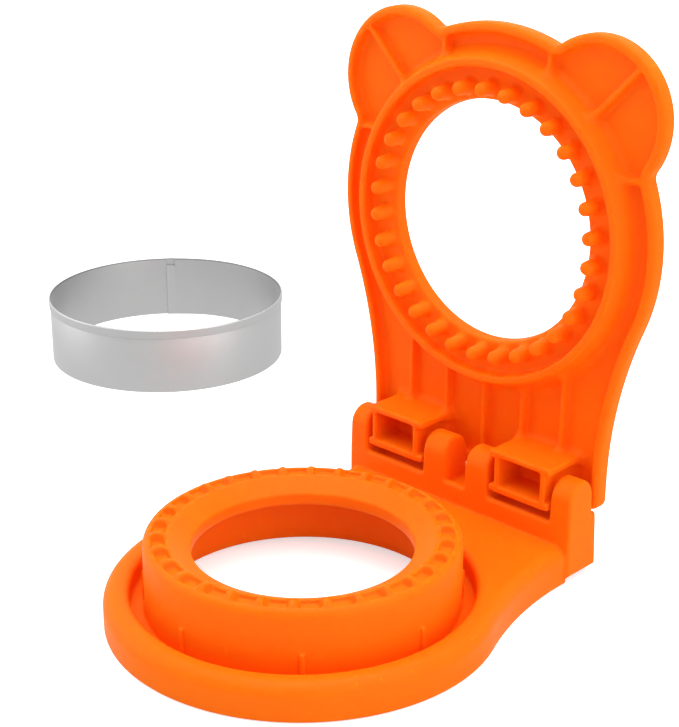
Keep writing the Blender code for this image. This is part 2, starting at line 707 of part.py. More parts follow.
def teeth():
    """Round-tipped teeth that press the bread between the ridges of the base."""
    tip = LID_LAND - TOOTH_LENGTH
    shoulder = tip + TOOTH_TIP_RADIUS
    root = TOOTH_RADIUS + TOOTH_ROOT
    section = [(0.0, LID_LAND + SINK), (root, LID_LAND + SINK), (root, LID_LAND),
               (TOOTH_RADIUS, LID_LAND - TOOTH_ROOT)]
    section += arc((0.0, shoulder), TOOTH_TIP_RADIUS, 0.0, -RIGHT_ANGLE, math.radians(31.0))[:-1]
    section += [(0.0, tip)]
    items = []
    for i in range(TOOTH_COUNT):
        tooth = turned(f"tooth_{i}", section, TOOTH_STEPS, tools, closed=False)
        angle = FULL_TURN * i / TOOTH_COUNT - RIGHT_ANGLE
        tooth.location = (TOOTH_CIRCLE_RADIUS * math.cos(angle), TOOTH_CIRCLE_RADIUS * math.sin(angle), 0.0)
        items.append(tooth)
    return gather("teeth", items, tools)


def rib(name, start, end):
    """One rib on the panel's front between two places in the lid's plan."""
    length = math.dist(start, end)
    item = block(name, (0.0, -RIB_THICKNESS / 2.0, LID_PANEL - RIB_HEIGHT),
                 (length, RIB_THICKNESS / 2.0, LID_PANEL + SINK), tools)
    item.location = (start[0], -start[1], 0.0)
    item.rotation_euler = (0.0, 0.0, -bearing(start, end))
    return item


def lid_ribs():
    """Upright ribs below the ring, one across each ear and short ones at the four notches."""
    root = RING_RADIUS + CUTTER_SPACE + GUARD_WALL
    knuckle_top = -HINGE_DISTANCE + KNUCKLE_ABOVE - SINK
    tail = -(HINGE_DISTANCE + LID_TAIL_REACH) + EDGE_WALL / 2.0
    items = []
    for i in range(LID_RIB_COUNT):
        x = (i - (LID_RIB_COUNT - 1) / 2.0) * RIB_PITCH
        foot = knuckle_top if abs(x) > KNUCKLE_START + RIB_THICKNESS else tail
        items.append(rib(f"rib_{i}", (x, -math.sqrt(root ** 2 - x ** 2)), (x, foot)))
    for sign, label in ((1.0, "right"), (-1.0, "left")):
        far = math.hypot(LID_EAR_SIDE, LID_EAR_RISE) + LID_EAR_RADIUS - EDGE_WALL
        ends = [(sign * reach * math.cos(DIAGONAL), reach * math.sin(DIAGONAL)) for reach in (root, far)]
        items.append(rib(f"ear_rib_{label}", *ends))
        brow = math.sqrt(root ** 2 - BROW_RIB_SIDE ** 2)
        top = math.sqrt((HEAD_RADIUS - EDGE_WALL / 2.0) ** 2 - BROW_RIB_SIDE ** 2)
        items.append(rib(f"brow_rib_{label}", (sign * BROW_RIB_SIDE, brow), (sign * BROW_RIB_SIDE, top)))
        cheek = math.sqrt(root ** 2 - CHEEK_RIB_RISE ** 2)
        side = math.sqrt((HEAD_RADIUS - EDGE_WALL / 2.0) ** 2 - CHEEK_RIB_RISE ** 2)
        items.append(rib(f"cheek_rib_{label}", (sign * cheek, CHEEK_RIB_RISE), (sign * side, CHEEK_RIB_RISE)))
    group = gather("lid_ribs", items, tools)
    return group


def knuckle(body, sign):
    """One hollow knuckle with its two shelves, its front pocket and a stud on either side."""
    label = "right" if sign > 0.0 else "left"
    front = HINGE_HEIGHT - KNUCKLE_FRONT
    above = HINGE_DISTANCE - KNUCKLE_ABOVE
    below = HINGE_DISTANCE + KNUCKLE_BELOW
    anchor = LID_PANEL + SINK
    start = KNUCKLE_START
    end = KNUCKLE_START + KNUCKLE_WIDTH
    profile = [(above, front), (below, front), (below, anchor), (above - KNUCKLE_FILLET, anchor)]
    profile += arc((above - KNUCKLE_FILLET, LID_PANEL - KNUCKLE_FILLET), KNUCKLE_FILLET, RIGHT_ANGLE, 0.0,
                   math.radians(30.0))
    near, far = sorted((sign * start, sign * end))
    combine(body, across(slab(f"knuckle_{label}", profile, near, far, tools)), "UNION")
    near, far = sorted((sign * (INNER_EAR_END + KNUCKLE_SHELF_GAP), sign * (OUTER_EAR_START - KNUCKLE_SHELF_GAP)))
    shelf = block(f"shelf_{label}", (near, below - KNUCKLE_SHELF, front + SINK / 4.0),
                  (far, below - SINK / 4.0, anchor), tools)
    combine(body, shelf, "UNION")
    brow = block(f"brow_{label}", (near, above + SINK / 4.0, front + SINK / 4.0),
                 (far, above + KNUCKLE_SHELF, LID_PANEL - KNUCKLE_FILLET), tools)
    combine(body, brow, "UNION")
    near, far = sorted((sign * (start + KNUCKLE_WALL), sign * (end - KNUCKLE_WALL)))
    pocket = block(f"pocket_{label}", (near, above + KNUCKLE_WALL, front - OVERRUN),
                   (far, below - KNUCKLE_SHELF, front + POCKET_DEPTH), tools)
    combine(body, pocket, "DIFFERENCE")
    reach = INNER_EAR_END - STUD_ENGAGEMENT
    inner = rod(f"inner_stud_{label}", (sign * reach, HINGE_DISTANCE, HINGE_HEIGHT),
                (sign * (start + KNUCKLE_WALL / 2.0), HINGE_DISTANCE, HINGE_HEIGHT), STUD_RADIUS, STUD_STEPS, tools)
    reach = OUTER_EAR_START + STUD_ENGAGEMENT
    outer = rod(f"outer_stud_{label}", (sign * (end - KNUCKLE_WALL / 2.0), HINGE_DISTANCE, HINGE_HEIGHT),
                (sign * reach, HINGE_DISTANCE, HINGE_HEIGHT), STUD_RADIUS, STUD_STEPS, tools)
    combine(body, gather(f"studs_{label}", [inner, outer], tools), "UNION")


def build_cutter():
    """A strip bent round, with a folded hem on its upper edge and a lapped seam inside."""
    inner = CUTTER_RADIUS - STRIP_THICKNESS
    hem = CUTTER_HEIGHT - HEM_HEIGHT
    fold = HEM_FOLD / 2.0
    section = [(CUTTER_RADIUS + fold, CUTTER_HEIGHT), (CUTTER_RADIUS + HEM_FOLD, CUTTER_HEIGHT - fold),
               (CUTTER_RADIUS + HEM_FOLD, hem), (CUTTER_RADIUS, hem), (CUTTER_RADIUS, 0.0), (inner, 0.0),
               (inner, hem), (inner - HEM_FOLD, hem), (inner - HEM_FOLD, CUTTER_HEIGHT - fold),
               (inner - fold, CUTTER_HEIGHT)]
    body = turned("cutter_ring", section, ROUND_STEPS, parts)
    lap_inner = inner - STRIP_THICKNESS
    lap = block("seam_lap", (lap_inner, -SEAM_LAP_WIDTH, SINK),
                (inner + STRIP_THICKNESS / 2.0, 0.0, hem + SINK), tools)
    lap.rotation_euler = (0.0, 0.0, SEAM_ANGLE)
    notch = block("seam_notch", (lap_inner - OVERRUN, -SEAM_NOTCH_WIDTH, CUTTER_HEIGHT - SEAM_NOTCH_DEPTH),
                  (CUTTER_RADIUS - STRIP_THICKNESS / 2.0, SINK, CUTTER_HEIGHT + OVERRUN), tools)
    notch.rotation_euler = (0.0, 0.0, SEAM_ANGLE)
    combine(body, lap, "UNION")
    combine(body, notch, "DIFFERENCE")
    settle(body)
    body.location = PRESS_CENTRE + Vector((-CUTTER_LEFT, CUTTER_BACK, 0.0))
    return body


def main():
    orange = plastic("orange_plastic", (0.86, 0.13, 0.012), 0.38)
    bare_steel = steel("brushed_steel")
    finish(build_base(), orange)
    lid_orange = orange.copy()
    lid_orange.name = "orange_plastic_lid"
    finish(build_lid(), lid_orange)
    finish(build_cutter(), bare_steel)
    for tool in tools.objects:
        tool.hide_render = True
        tool.display_type = "WIRE"


main()
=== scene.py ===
"""Dresses the packed sandwich cutter and sealer.

The two mouldings are worked out as smooth fields of distance, so that every edge is rounded and
every inside corner has its fillet, as a moulding tool leaves them. The steel cutter is a bent strip.
Lengths are in metres. X runs to the right, Y from the front foot to the hinge, and Z up.
"""

import math

import bmesh
import bpy
import numpy as np
from bpy.props import FloatProperty, FloatVectorProperty, IntProperty, PointerProperty
from mathutils import Matrix, Vector


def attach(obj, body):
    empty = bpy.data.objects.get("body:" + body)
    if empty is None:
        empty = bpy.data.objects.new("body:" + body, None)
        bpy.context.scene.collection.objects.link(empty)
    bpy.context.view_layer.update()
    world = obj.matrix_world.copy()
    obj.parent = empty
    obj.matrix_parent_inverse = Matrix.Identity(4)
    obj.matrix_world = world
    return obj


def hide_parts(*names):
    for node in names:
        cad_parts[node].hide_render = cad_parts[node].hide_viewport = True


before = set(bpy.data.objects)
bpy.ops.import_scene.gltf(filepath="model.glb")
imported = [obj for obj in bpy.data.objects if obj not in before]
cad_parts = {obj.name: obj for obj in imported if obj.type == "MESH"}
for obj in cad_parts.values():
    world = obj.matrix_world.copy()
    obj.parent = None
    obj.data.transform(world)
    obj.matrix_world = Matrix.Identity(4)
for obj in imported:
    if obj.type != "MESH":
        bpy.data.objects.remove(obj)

bl_info = {
    "name": "Sandwich cutter and sealer",
    "version": (1, 0, 0),
    "blender": (4, 5, 0),
    "location": "3D View > Sidebar > Press",
    "description": "Builds the moulded base and lid, the steel cutter, the finishes and the studio",
    "category": "Object",
}

# Roundings that the moulding tools leave, from crisp to broad
CRISP = 0.0002
FINE = 0.0004
EDGE = 0.0005
SOFT = 0.0006
ROUND = 0.0007
FULL = 0.0008
WIDE = 0.0009
BROAD = 0.0012

# How far cutting shapes run past the plastic, and how far added shapes sink into it
OVERRUN = 0.0100
SINK = 0.0006

# Base: crimping ring
RING_RADIUS = 0.0444
RING_WALL = 0.0029
SHOULDER_WIDTH = 0.0018
SHOULDER_FALL = 0.0025
RING_HEIGHT = 0.0252
LAND_OUTER = 0.0422
LAND_INNER = 0.0381
LAND_DEPTH = 0.0011
LAND_DRAFT = 0.0003
DECK_THICKNESS = 0.0024
FUNNEL_START = 0.0372
MOUTH_RADIUS = 0.0311
MOUTH_DROP = 0.0033
MOUTH_LIP = 0.0036
DECK_FILLET = 0.0020
BORE_FILLET = 0.0015
RIDGE_HEIGHT = 0.0013
RIDGE_WIDTH = 0.0033
RIDGE_CREST = 0.0015
RIDGE_CREST_HALF_LENGTH = 0.0019
RIDGE_END_RUN = 0.0009
RIDGE_END_ROUNDING = 0.0014
RIDGE_FLANK_LEAN = 0.95
RIDGE_END_LEAN = 0.9

# Base: moat, rim and plate
WALL = 0.0020
MOAT_RADIUS = 0.0485
MOAT_FLOOR = 0.0044
MOAT_FLOOR_THICKNESS = 0.0022
MOAT_WALL = 0.0018
MOAT_FLARE = 0.0019
RIM_RADIUS = 0.0558
RIM_HEIGHT = 0.0115
RIM_FRONT_FALL = 0.0012
RIM_ROUNDING = 0.0040
HOLLOW_FILLET = 0.0030
RING_REACH = 0.0620
FOOT_RADIUS = 0.0548
CUTTER_RIB_WIDTH = 0.0012
CUTTER_RIB_PROUD = 0.0007
CUTTER_RIB_ROOT = 0.0010
CUTTER_RIB_HEIGHT = 0.0088

# Hinge
HINGE_DISTANCE = 0.0713
HINGE_HEIGHT = 0.0272
HINGE_HALF_WIDTH = 0.0439
WAIST_HALF_WIDTH = 0.0428
HEEL_FOOT_REACH = 0.0071
HEEL_STEP_REACH = 0.0060
HEEL_LIFT = 0.0020
HEEL_STEP = 0.0194
STUD_RADIUS = 0.0020
STUD_HOLE_RADIUS = 0.0023
STUD_ENGAGEMENT = 0.0042
STUD_FILLET = 0.0003
BLOCK_FRONT = 0.0643
EAR_BACK = 0.0755
EAR_TOP = 0.0313
EAR_DRAFT = 0.0005
INNER_EAR_START = 0.0037
INNER_EAR_END = 0.0130
OUTER_EAR_START = 0.0360
BAR_LIP = 0.0022
BAR_LIP_TOP = 0.0180
BAR_DECK = 0.0170
BAR_DECK_THICKNESS = 0.0024
BAR_STOP_TOP = 0.0188

# Lid, as heights above the table while it is shut
LID_GUARD = 0.0280
LID_EDGE = 0.0320
LID_LAND = 0.0323
LID_PANEL = 0.0355
LID_BACK = 0.0373
TOOTH_LENGTH = 0.0069
TOOTH_TIP_RADIUS = 0.0019
TOOTH_ROOT_RADIUS = 0.0023
TOOTH_CIRCLE_RADIUS = 0.0397
TOOTH_SINK = 0.0010
TOOTH_END_ROUNDING = 0.0017
TOOTH_FILLET = 0.0013
GUARD_INNER = 0.0458
GUARD_OUTER = 0.0481
GUARD_FOOT_RADIUS = 0.0503
GUARD_FOOT_RISE = 0.0008
GUARD_SINK = 0.0012
GUARD_ROOT_FILLET = 0.0010
GUARD_FILLET = 0.0024
GUARD_LAND_OVERLAP = 0.0030
EDGE_WALL = 0.0027
EDGE_ROUNDING = 0.0017
RECESS_FILLET = 0.0020
LID_MOUTH_RADIUS = 0.0361
LID_MOUTH_TAPER = 0.0004
LID_MOUTH_FLARE = 0.0013
LID_GROOVE_INSET = 0.0024
LID_GROOVE_WIDTH = 0.0060
LID_GROOVE_DEPTH = 0.0018
LID_REACH = 0.0750
LID_TAIL_REACH = 0.0076
LID_CORNER = 0.0028
HEAD_RADIUS = 0.0578
LID_HALF_WIDTH = 0.0444
LID_WAIST_POSITION = 0.0700
LID_EAR_RADIUS = 0.0225
LID_EAR_SIDE = 0.0354
LID_EAR_RISE = 0.0363
NOTCH_FILLET = 0.0030
RIB_THICKNESS = 0.0014
RIB_DRAFT = 0.0004
RIB_HEIGHT = 0.0026
RIB_PITCH = 0.0147
RIB_FOOT = -0.0773
HEAD_RIB_FALL = 0.0006
BROW_RIB_SIDE = 0.0190
CHEEK_RIB_RISE = 0.0208
DIAGONAL = math.radians(46.5)

# Lid knuckles
KNUCKLE_START = 0.0154
KNUCKLE_END = 0.0341
KNUCKLE_FRONT = 0.0201
KNUCKLE_ABOVE = -0.0644
KNUCKLE_BELOW = -0.0776
KNUCKLE_WALL = 0.0017
KNUCKLE_SHELF = 0.0022
KNUCKLE_SHELF_START = 0.0134
KNUCKLE_SHELF_END = 0.0356
KNUCKLE_FILLET = 0.0028
POCKET_DEPTH = 0.0110

# Steel cutter
CUTTER_RADIUS = 0.0460
STRIP_THICKNESS = 0.0005
CUTTER_HEIGHT = 0.0248
HEM_HEIGHT = 0.0033
HEM_FOLD = 0.0004
HEM_GROOVE = 0.00025
HEM_FOOT_ROUNDING = 0.00015
STRIP_EDGE = 0.0001
STRIP_TOP_ROUNDING = 0.0003
LAP_WIDTH = 0.0180
LAP_GROOVE = 0.0006
STEP_EDGE = 0.0001
NOTCH_WIDTH = 0.0036
NOTCH_DEPTH = 0.0029
SEAM_ANGLE = math.radians(140.0)
CUTTER_LEFT = 0.1900
CUTTER_BACK = 0.1100

# Marks of use
SMEAR_START = 0.45
SMEAR_CONTRAST = 3.0
SCUFFS_PER_METRE = 900.0
SCUFF_STRETCH = (1.0, 0.15, 6.0)
SCUFF_SLANT = (0.3, 0.5, 0.9)
SCUFF_START = 0.66
SCUFF_CONTRAST = 9.0

# Plastic finish. A dulling adds to the roughness, and a relief is a strength and a depth
DEEP_TINT = (0.985, 0.86, 0.7)
# Painted highlight: the plastic's outward edges are painted lighter and yellower, by this tint at this share
EDGE_HIGHLIGHT_TINT = (1.0, 1.35, 1.8)
EDGE_HIGHLIGHT_SHARE = 0.5
SMEAR_DULLING = 0.14
SCUFF_DULLING = 0.12
GRAIN_RELIEF = (0.22, 0.00005)
PLASTIC_IOR = 1.46
GLOW_SPREAD = (1.0, 0.30, 0.08)

# Steel finish. Its smears, rubbed edges and top edge are a share and a grey
ROLLING_LINES = 160.0
ROLLING_STRETCH = (1.0, 60.0, 1.0)
ROLLING_TONES = (0.90, 1.06)
ROLLING_GLOSS = (-0.05, 0.06)
ROLLING_RELIEF = (0.25, 0.00002)
STEEL_SMEARS = (0.25, 0.40)
STEEL_RUBBED = (0.2, 0.70)
STEEL_TOP_EDGE = (0.8, 0.16)
STEEL_SMEAR_DULLING = 0.08

# Stage. Each lamp is a name, a place, a width and its setting
LAMPS = (("top_lamp", (0.0, 0.1, 1.1), 1.5, "top_power"),
         ("left_lamp", (-0.95, -0.45, 0.4), 1.1, "left_power"),
         ("right_lamp", (0.95, 0.1, 0.5), 1.1, "right_power"))
LAMP_TARGET = Vector((-0.02, 0.08, 0.06))
FLOOR_HALF_WIDTH = 3.0
FLOOR_DROP = 0.0002
FLOOR_ROUGHNESS = 0.9
FLOOR_SHINE = 0.1
FADE_START = 0.25
FADE_END = 0.6
CAMERA_PLACE = Vector((0.28418, -0.22293, 0.22695))
CAMERA_TARGET = Vector((-0.015244, 0.0848, 0.062847))
CAMERA_ROLL = math.radians(0.159)
SENSOR_HEIGHT = 36.0
NEAREST = 0.01
FARTHEST = 20.0
WHITE = (1.0, 1.0, 1.0, 1.0)

TOOTH_COUNT = 30
CUTTER_RIB_COUNT = 8
LID_RIB_COUNT = 5
FULL_TURN = math.tau
RIGHT_ANGLE = math.pi / 2.0
HALF_TURN = math.pi
CURVE_STEP = math.radians(1.5)
PROFILE_STEP = math.radians(4.0)
NOTCH_STEP = math.radians(6.0)
SHOULDER_STEP = math.radians(10.0)
CORNER_STEP = math.radians(12.0)
STRAIGHT = math.radians(177.0)
CORNER_SHARE = 0.48
ON_AXIS = 1e-6
SAME_PLACE = 1e-5
RELAX_SHARE = 0.5
TABLE_PITCH = 0.0001
MARGIN_STEPS = 3.0
SHARP_EDGE = math.radians(35.0)

RING_CENTRE = Vector((0.0, FOOT_RADIUS, 0.0))
LID_CENTRE = Vector((0.0, FOOT_RADIUS + HINGE_DISTANCE - HINGE_HEIGHT, HINGE_DISTANCE + HINGE_HEIGHT))
CUTTER_CENTRE = Vector((-CUTTER_LEFT, FOOT_RADIUS + CUTTER_BACK, 0.0))


# Outlines and sections, as closed lists of places

def arc(centre, radius, start, end, step=CURVE_STEP):
    count = max(2, math.ceil(abs(end - start) / step))
    angles = [start + (end - start) * i / count for i in range(count + 1)]
    return [(centre[0] + radius * math.cos(a), centre[1] + radius * math.sin(a)) for a in angles]


def bearing(origin, target):
    return math.atan2(target[1] - origin[1], target[0] - origin[0])


def between_circles(first, first_reach, second, second_reach, side):
    """The place at the given reaches from two centres, on the chosen side of their line."""
    span = math.dist(first, second)
    along = (span ** 2 + first_reach ** 2 - second_reach ** 2) / (2.0 * span)
    across = side * math.sqrt(first_reach ** 2 - along ** 2)
    ux, uy = (second[0] - first[0]) / span, (second[1] - first[1]) / span
    return (first[0] + along * ux - across * uy, first[1] + along * uy + across * ux)


def waist_radius(half_width, position, round_radius):
    """Radius of the hollow side that leaves a circle smoothly and ends square to the hinge."""
    return (position ** 2 + half_width ** 2 - round_radius ** 2) / (2.0 * (round_radius - half_width))


def mirrored(half):
    return half + [(-x, y) for x, y in reversed(half) if abs(x) > ON_AXIS]


def rounded(corners):
    """A closed section from corners of (across, up, rounding)."""
    places = []
    for i, (x, y, radius) in enumerate(corners):
        before, here = Vector(corners[i - 1][:2]), Vector((x, y))
        after = Vector(corners[(i + 1) % len(corners)][:2])
        into, out = (before - here).normalized(), (after - here).normalized()
        opening = math.acos(max(-1.0, min(1.0, into.dot(out))))
        if radius <= 0.0 or opening > STRAIGHT:
            places.append((x, y))
            continue
        run = min(radius / math.tan(opening / 2.0), CORNER_SHARE * (before - here).length,
                  CORNER_SHARE * (after - here).length)
        radius = run * math.tan(opening / 2.0)
        middle = here + (into + out).normalized() * radius / math.sin(opening / 2.0)
        start, end = bearing(middle, here + into * run), bearing(middle, here + out * run)
        sweep = (end - start + HALF_TURN) % FULL_TURN - HALF_TURN
        places += arc(middle, radius, start, start + sweep, CORNER_STEP)
    return places


def base_outline():
    hollow = waist_radius(WAIST_HALF_WIDTH, BLOCK_FRONT, RIM_RADIUS)
    centre = (WAIST_HALF_WIDTH + hollow, BLOCK_FRONT)
    lean = bearing((0.0, 0.0), centre)
    half = arc((0.0, 0.0), RIM_RADIUS, -RIGHT_ANGLE, lean)
    half += arc(centre, hollow, HALF_TURN + lean, HALF_TURN)[1:]
    half.append((WAIST_HALF_WIDTH, HINGE_DISTANCE))
    return mirrored(half)


def lid_outline():
    centre = (0.0, 0.0)
    ear = (LID_EAR_SIDE, LID_EAR_RISE)
    hollow = waist_radius(LID_HALF_WIDTH, LID_WAIST_POSITION, HEAD_RADIUS)
    hollow_centre = (LID_HALF_WIDTH + hollow, -LID_WAIST_POSITION)
    lean = bearing(centre, hollow_centre)
    cheek = between_circles(centre, HEAD_RADIUS + NOTCH_FILLET, ear, LID_EAR_RADIUS + NOTCH_FILLET, -1.0)
    brow = between_circles(centre, HEAD_RADIUS + NOTCH_FILLET, ear, LID_EAR_RADIUS + NOTCH_FILLET, 1.0)
    tail = -(HINGE_DISTANCE + LID_TAIL_REACH)
    side = LID_HALF_WIDTH
    half = [(0.0, tail)]
    half += arc((side - LID_CORNER, tail + LID_CORNER), LID_CORNER, -RIGHT_ANGLE, 0.0)
    half += arc(hollow_centre, hollow, HALF_TURN, HALF_TURN + lean)
    half += arc(centre, HEAD_RADIUS, lean, bearing(centre, cheek))
    half += arc(cheek, NOTCH_FILLET, bearing(cheek, centre) + FULL_TURN, bearing(cheek, ear), NOTCH_STEP)
    half += arc(ear, LID_EAR_RADIUS, bearing(ear, cheek), bearing(ear, brow))
    half += arc(brow, NOTCH_FILLET, bearing(brow, ear), bearing(brow, centre), NOTCH_STEP)
    half += arc(centre, HEAD_RADIUS, bearing(centre, brow), RIGHT_ANGLE)
    kept = []
    for place in half:
        if not kept or math.dist(place, kept[-1]) > SAME_PLACE:
            kept.append(place)
    return mirrored(kept)


# Fields of distance: less than zero inside the plastic

def outline_distance(u, v, outline):
    """Distance from each place to a closed outline."""
    u, v = np.broadcast_arrays(u, v)
    nearest = np.full(u.shape, 1.0, np.float32)
    inside = np.zeros(u.shape, bool)
    for (ax, ay), (bx, by) in zip(outline, outline[1:] + outline[:1]):
        ex, ey = bx - ax, by - ay
        wx, wy = u - ax, v - ay
        along = np.clip((wx * ex + wy * ey) / (ex * ex + ey * ey + 1e-18), 0.0, 1.0)
        nearest = np.minimum(nearest, (wx - ex * along) ** 2 + (wy - ey * along) ** 2)
        if ay != by:
            inside ^= ((ay > v) != (by > v)) & (u < ex * (v - ay) / ey + ax)
    distance = np.sqrt(nearest)
    return np.where(inside, -distance, distance).astype(np.float32)


def turned_distance(radius, heights, section, high):
    """Distance to a section turned about the ring's axis. Heights lie along one axis of the block."""
    across = np.arange(0.0, high + TABLE_PITCH, TABLE_PITCH, dtype=np.float32)
    flat = heights.ravel()
    table = outline_distance(across[:, None], flat[None, :], section)
    place = np.clip(radius / TABLE_PITCH, 0.0, len(across) - 1.001)
    low = place.astype(np.int32)
    share = (place - low)[..., None]
    return (table[low] * (1.0 - share) + table[low + 1] * share).astype(np.float32)


def join(a, b, fillet):
    """Two solids as one, with a fillet where they meet."""
    reach = np.sqrt(np.maximum(fillet - a, 0.0) ** 2 + np.maximum(fillet - b, 0.0) ** 2)
    return np.maximum(fillet, np.minimum(a, b)) - reach


def overlap(a, b, rounding):
    """What two solids share, with its edges rounded."""
    reach = np.sqrt(np.maximum(rounding + a, 0.0) ** 2 + np.maximum(rounding + b, 0.0) ** 2)
    return np.minimum(-rounding, np.maximum(a, b)) + reach


def cut(a, b, rounding):
    """The first solid without the second, with its edges rounded."""
    return overlap(a, -b, rounding)


def between(place, low, high):
    return np.maximum(low - place, place - high)


def block_points(low, high, step):
    """Axes of a block of places, of which the first is the right half of X."""
    across = np.arange(step / 2.0, high[0] + step, step, dtype=np.float32)[:, None, None]
    along = np.arange(low[1], high[1] + step, step, dtype=np.float32)[None, :, None]
    up = np.arange(low[2], high[2] + step, step, dtype=np.float32)[None, None, :]
    return across, along, up


def skin(name, field, across, along, up, step):
    """A mesh of four-sided faces on the surface of a field whose left half mirrors its right."""
    whole = np.concatenate([field[::-1], field], axis=0)
    origin = np.array([-across.max(), along.min(), up.min()], np.float32)
    inside = whole < 0.0
    count = np.zeros([n - 1 for n in whole.shape], np.uint8)
    corners = [(i, j, k) for i in (0, 1) for j in (0, 1) for k in (0, 1)]
    nx, ny, nz = count.shape
    for i, j, k in corners:
        count += inside[i:i + nx, j:j + ny, k:k + nz]
    cells = np.argwhere((count > 0) & (count < 8))
    number = np.full(count.shape, -1, np.int32)
    number[tuple(cells.T)] = np.arange(len(cells))
    total = np.zeros((len(cells), 3), np.float32)
    weight = np.zeros(len(cells), np.float32)
    for start in corners:
        for axis in range(3):
            if start[axis]:
                continue
            end = list(start)
            end[axis] = 1
            a = whole[tuple((cells + start).T)]
            b = whole[tuple((cells + end).T)]
            crosses = (a < 0.0) != (b < 0.0)
            t = np.where(crosses, a / np.where(crosses, a - b, 1.0), 0.0)
            place = np.tile(np.array(start, np.float32), (len(cells), 1))
            place[:, axis] = t
            total += place * crosses[:, None]
            weight += crosses
    places = origin + (cells + total / weight[:, None]) * step
    faces = []
    for axis in range(3):
        one, two = [a for a in range(3) if a != axis]
        shape = list(whole.shape)
        shape[axis] -= 1
        first = inside[tuple(slice(0, n) for n in shape)]
        moved = [slice(0, n) for n in shape]
        moved[axis] = slice(1, shape[axis] + 1)
        second = inside[tuple(moved)]
        edges = np.argwhere(first != second)
        low = (edges[:, one] > 0) & (edges[:, two] > 0)
        high = (edges[:, one] < whole.shape[one] - 1) & (edges[:, two] < whole.shape[two] - 1)
        edges = edges[low & high]
        leaving = inside[tuple(edges.T)]
        ring = []
        for back_one, back_two in ((1, 1), (0, 1), (0, 0), (1, 0)):
            cell = edges.copy()
            cell[:, one] -= back_one
            cell[:, two] -= back_two
            ring.append(number[tuple(cell.T)])
        ring = np.stack(ring, axis=1)
        flip = leaving if axis == 1 else ~leaving
        ring[flip] = ring[flip][:, ::-1]
        faces.append(ring)
    faces = np.concatenate(faces)
    mesh = bpy.data.meshes.new(name)
    mesh.vertices.add(len(places))
    mesh.vertices.foreach_set("co", places.astype(np.float32).ravel())
    mesh.loops.add(faces.size)
    mesh.loops.foreach_set("vertex_index", faces.ravel().astype(np.int32))
    mesh.polygons.add(len(faces))
    mesh.polygons.foreach_set("loop_start", np.arange(0, faces.size, 4, dtype=np.int32))
    mesh.update(calc_edges=True)
    return mesh


def put(name, data):
    """An object in the scene that shows the given data."""
    item = bpy.data.objects.new(name, data)
    bpy.context.scene.collection.objects.link(item)
    return item


def polish(mesh, passes, kept):
    """Relax the skin a little, then keep fewer faces where it is flat."""
    piece = put(mesh.name, mesh)
    relax = piece.modifiers.new("relax", "SMOOTH")
    relax.factor = RELAX_SHARE
    relax.iterations = passes
    if kept < 1.0:
        fewer = piece.modifiers.new("fewer", "DECIMATE")
        fewer.ratio = kept
    bpy.context.view_layer.update()
    evaluated = piece.evaluated_get(bpy.context.evaluated_depsgraph_get())
    settled = bpy.data.meshes.new_from_object(evaluated)
    piece.modifiers.clear()
    piece.data = settled
    bpy.data.meshes.remove(mesh)
    settled.shade_smooth()
    return piece


# The base

def ring_section():
    """The floor of the moat and the ring that stands on it, from the axis outwards."""
    rim = MOAT_RADIUS + MOAT_WALL / 2.0
    foot = MOAT_FLOOR - MOAT_FLOOR_THICKNESS
    bore = RING_RADIUS - RING_WALL
    land = RING_HEIGHT - LAND_DEPTH
    deck = land - DECK_THICKNESS
    mouth_top = RING_HEIGHT - MOUTH_DROP
    mouth_foot = mouth_top - MOUTH_LIP
    turn = arc((0.0, 0.0), 1.0, 0.0, RIGHT_ANGLE, SHOULDER_STEP)
    shoulder = [(RING_RADIUS - SHOULDER_WIDTH * (1.0 - x), RING_HEIGHT - SHOULDER_FALL * (1.0 - y), 0.0)
                for x, y in turn]
    return rounded([
        (rim, foot, 0.0), (rim, MOAT_FLOOR, 0.0), (RING_RADIUS, MOAT_FLOOR, ROUND), *shoulder,
        (LAND_OUTER, RING_HEIGHT, CRISP), (LAND_OUTER - LAND_DRAFT, land, ROUND),
        (LAND_INNER + LAND_DRAFT, land, ROUND), (LAND_INNER, RING_HEIGHT, SOFT),
        (FUNNEL_START, RING_HEIGHT, FULL), (MOUTH_RADIUS, mouth_top, FULL),
        (MOUTH_RADIUS, mouth_foot, SOFT), (MOUTH_RADIUS + WALL, mouth_foot, SOFT),
        (MOUTH_RADIUS + MOUTH_LIP, deck - LAND_DEPTH, DECK_FILLET), (bore, deck, BORE_FILLET),
        (bore, foot, EDGE)])


def hinge_profile():
    radius = (EAR_BACK - BLOCK_FRONT) / 2.0
    profile = [(BLOCK_FRONT, HEEL_LIFT), (HINGE_DISTANCE + HEEL_FOOT_REACH, HEEL_LIFT),
               (HINGE_DISTANCE + HEEL_STEP_REACH, HEEL_STEP), (EAR_BACK, HEEL_STEP)]
    return profile + arc((EAR_BACK - radius, EAR_TOP - radius), radius, 0.0, HALF_TURN, PROFILE_STEP)


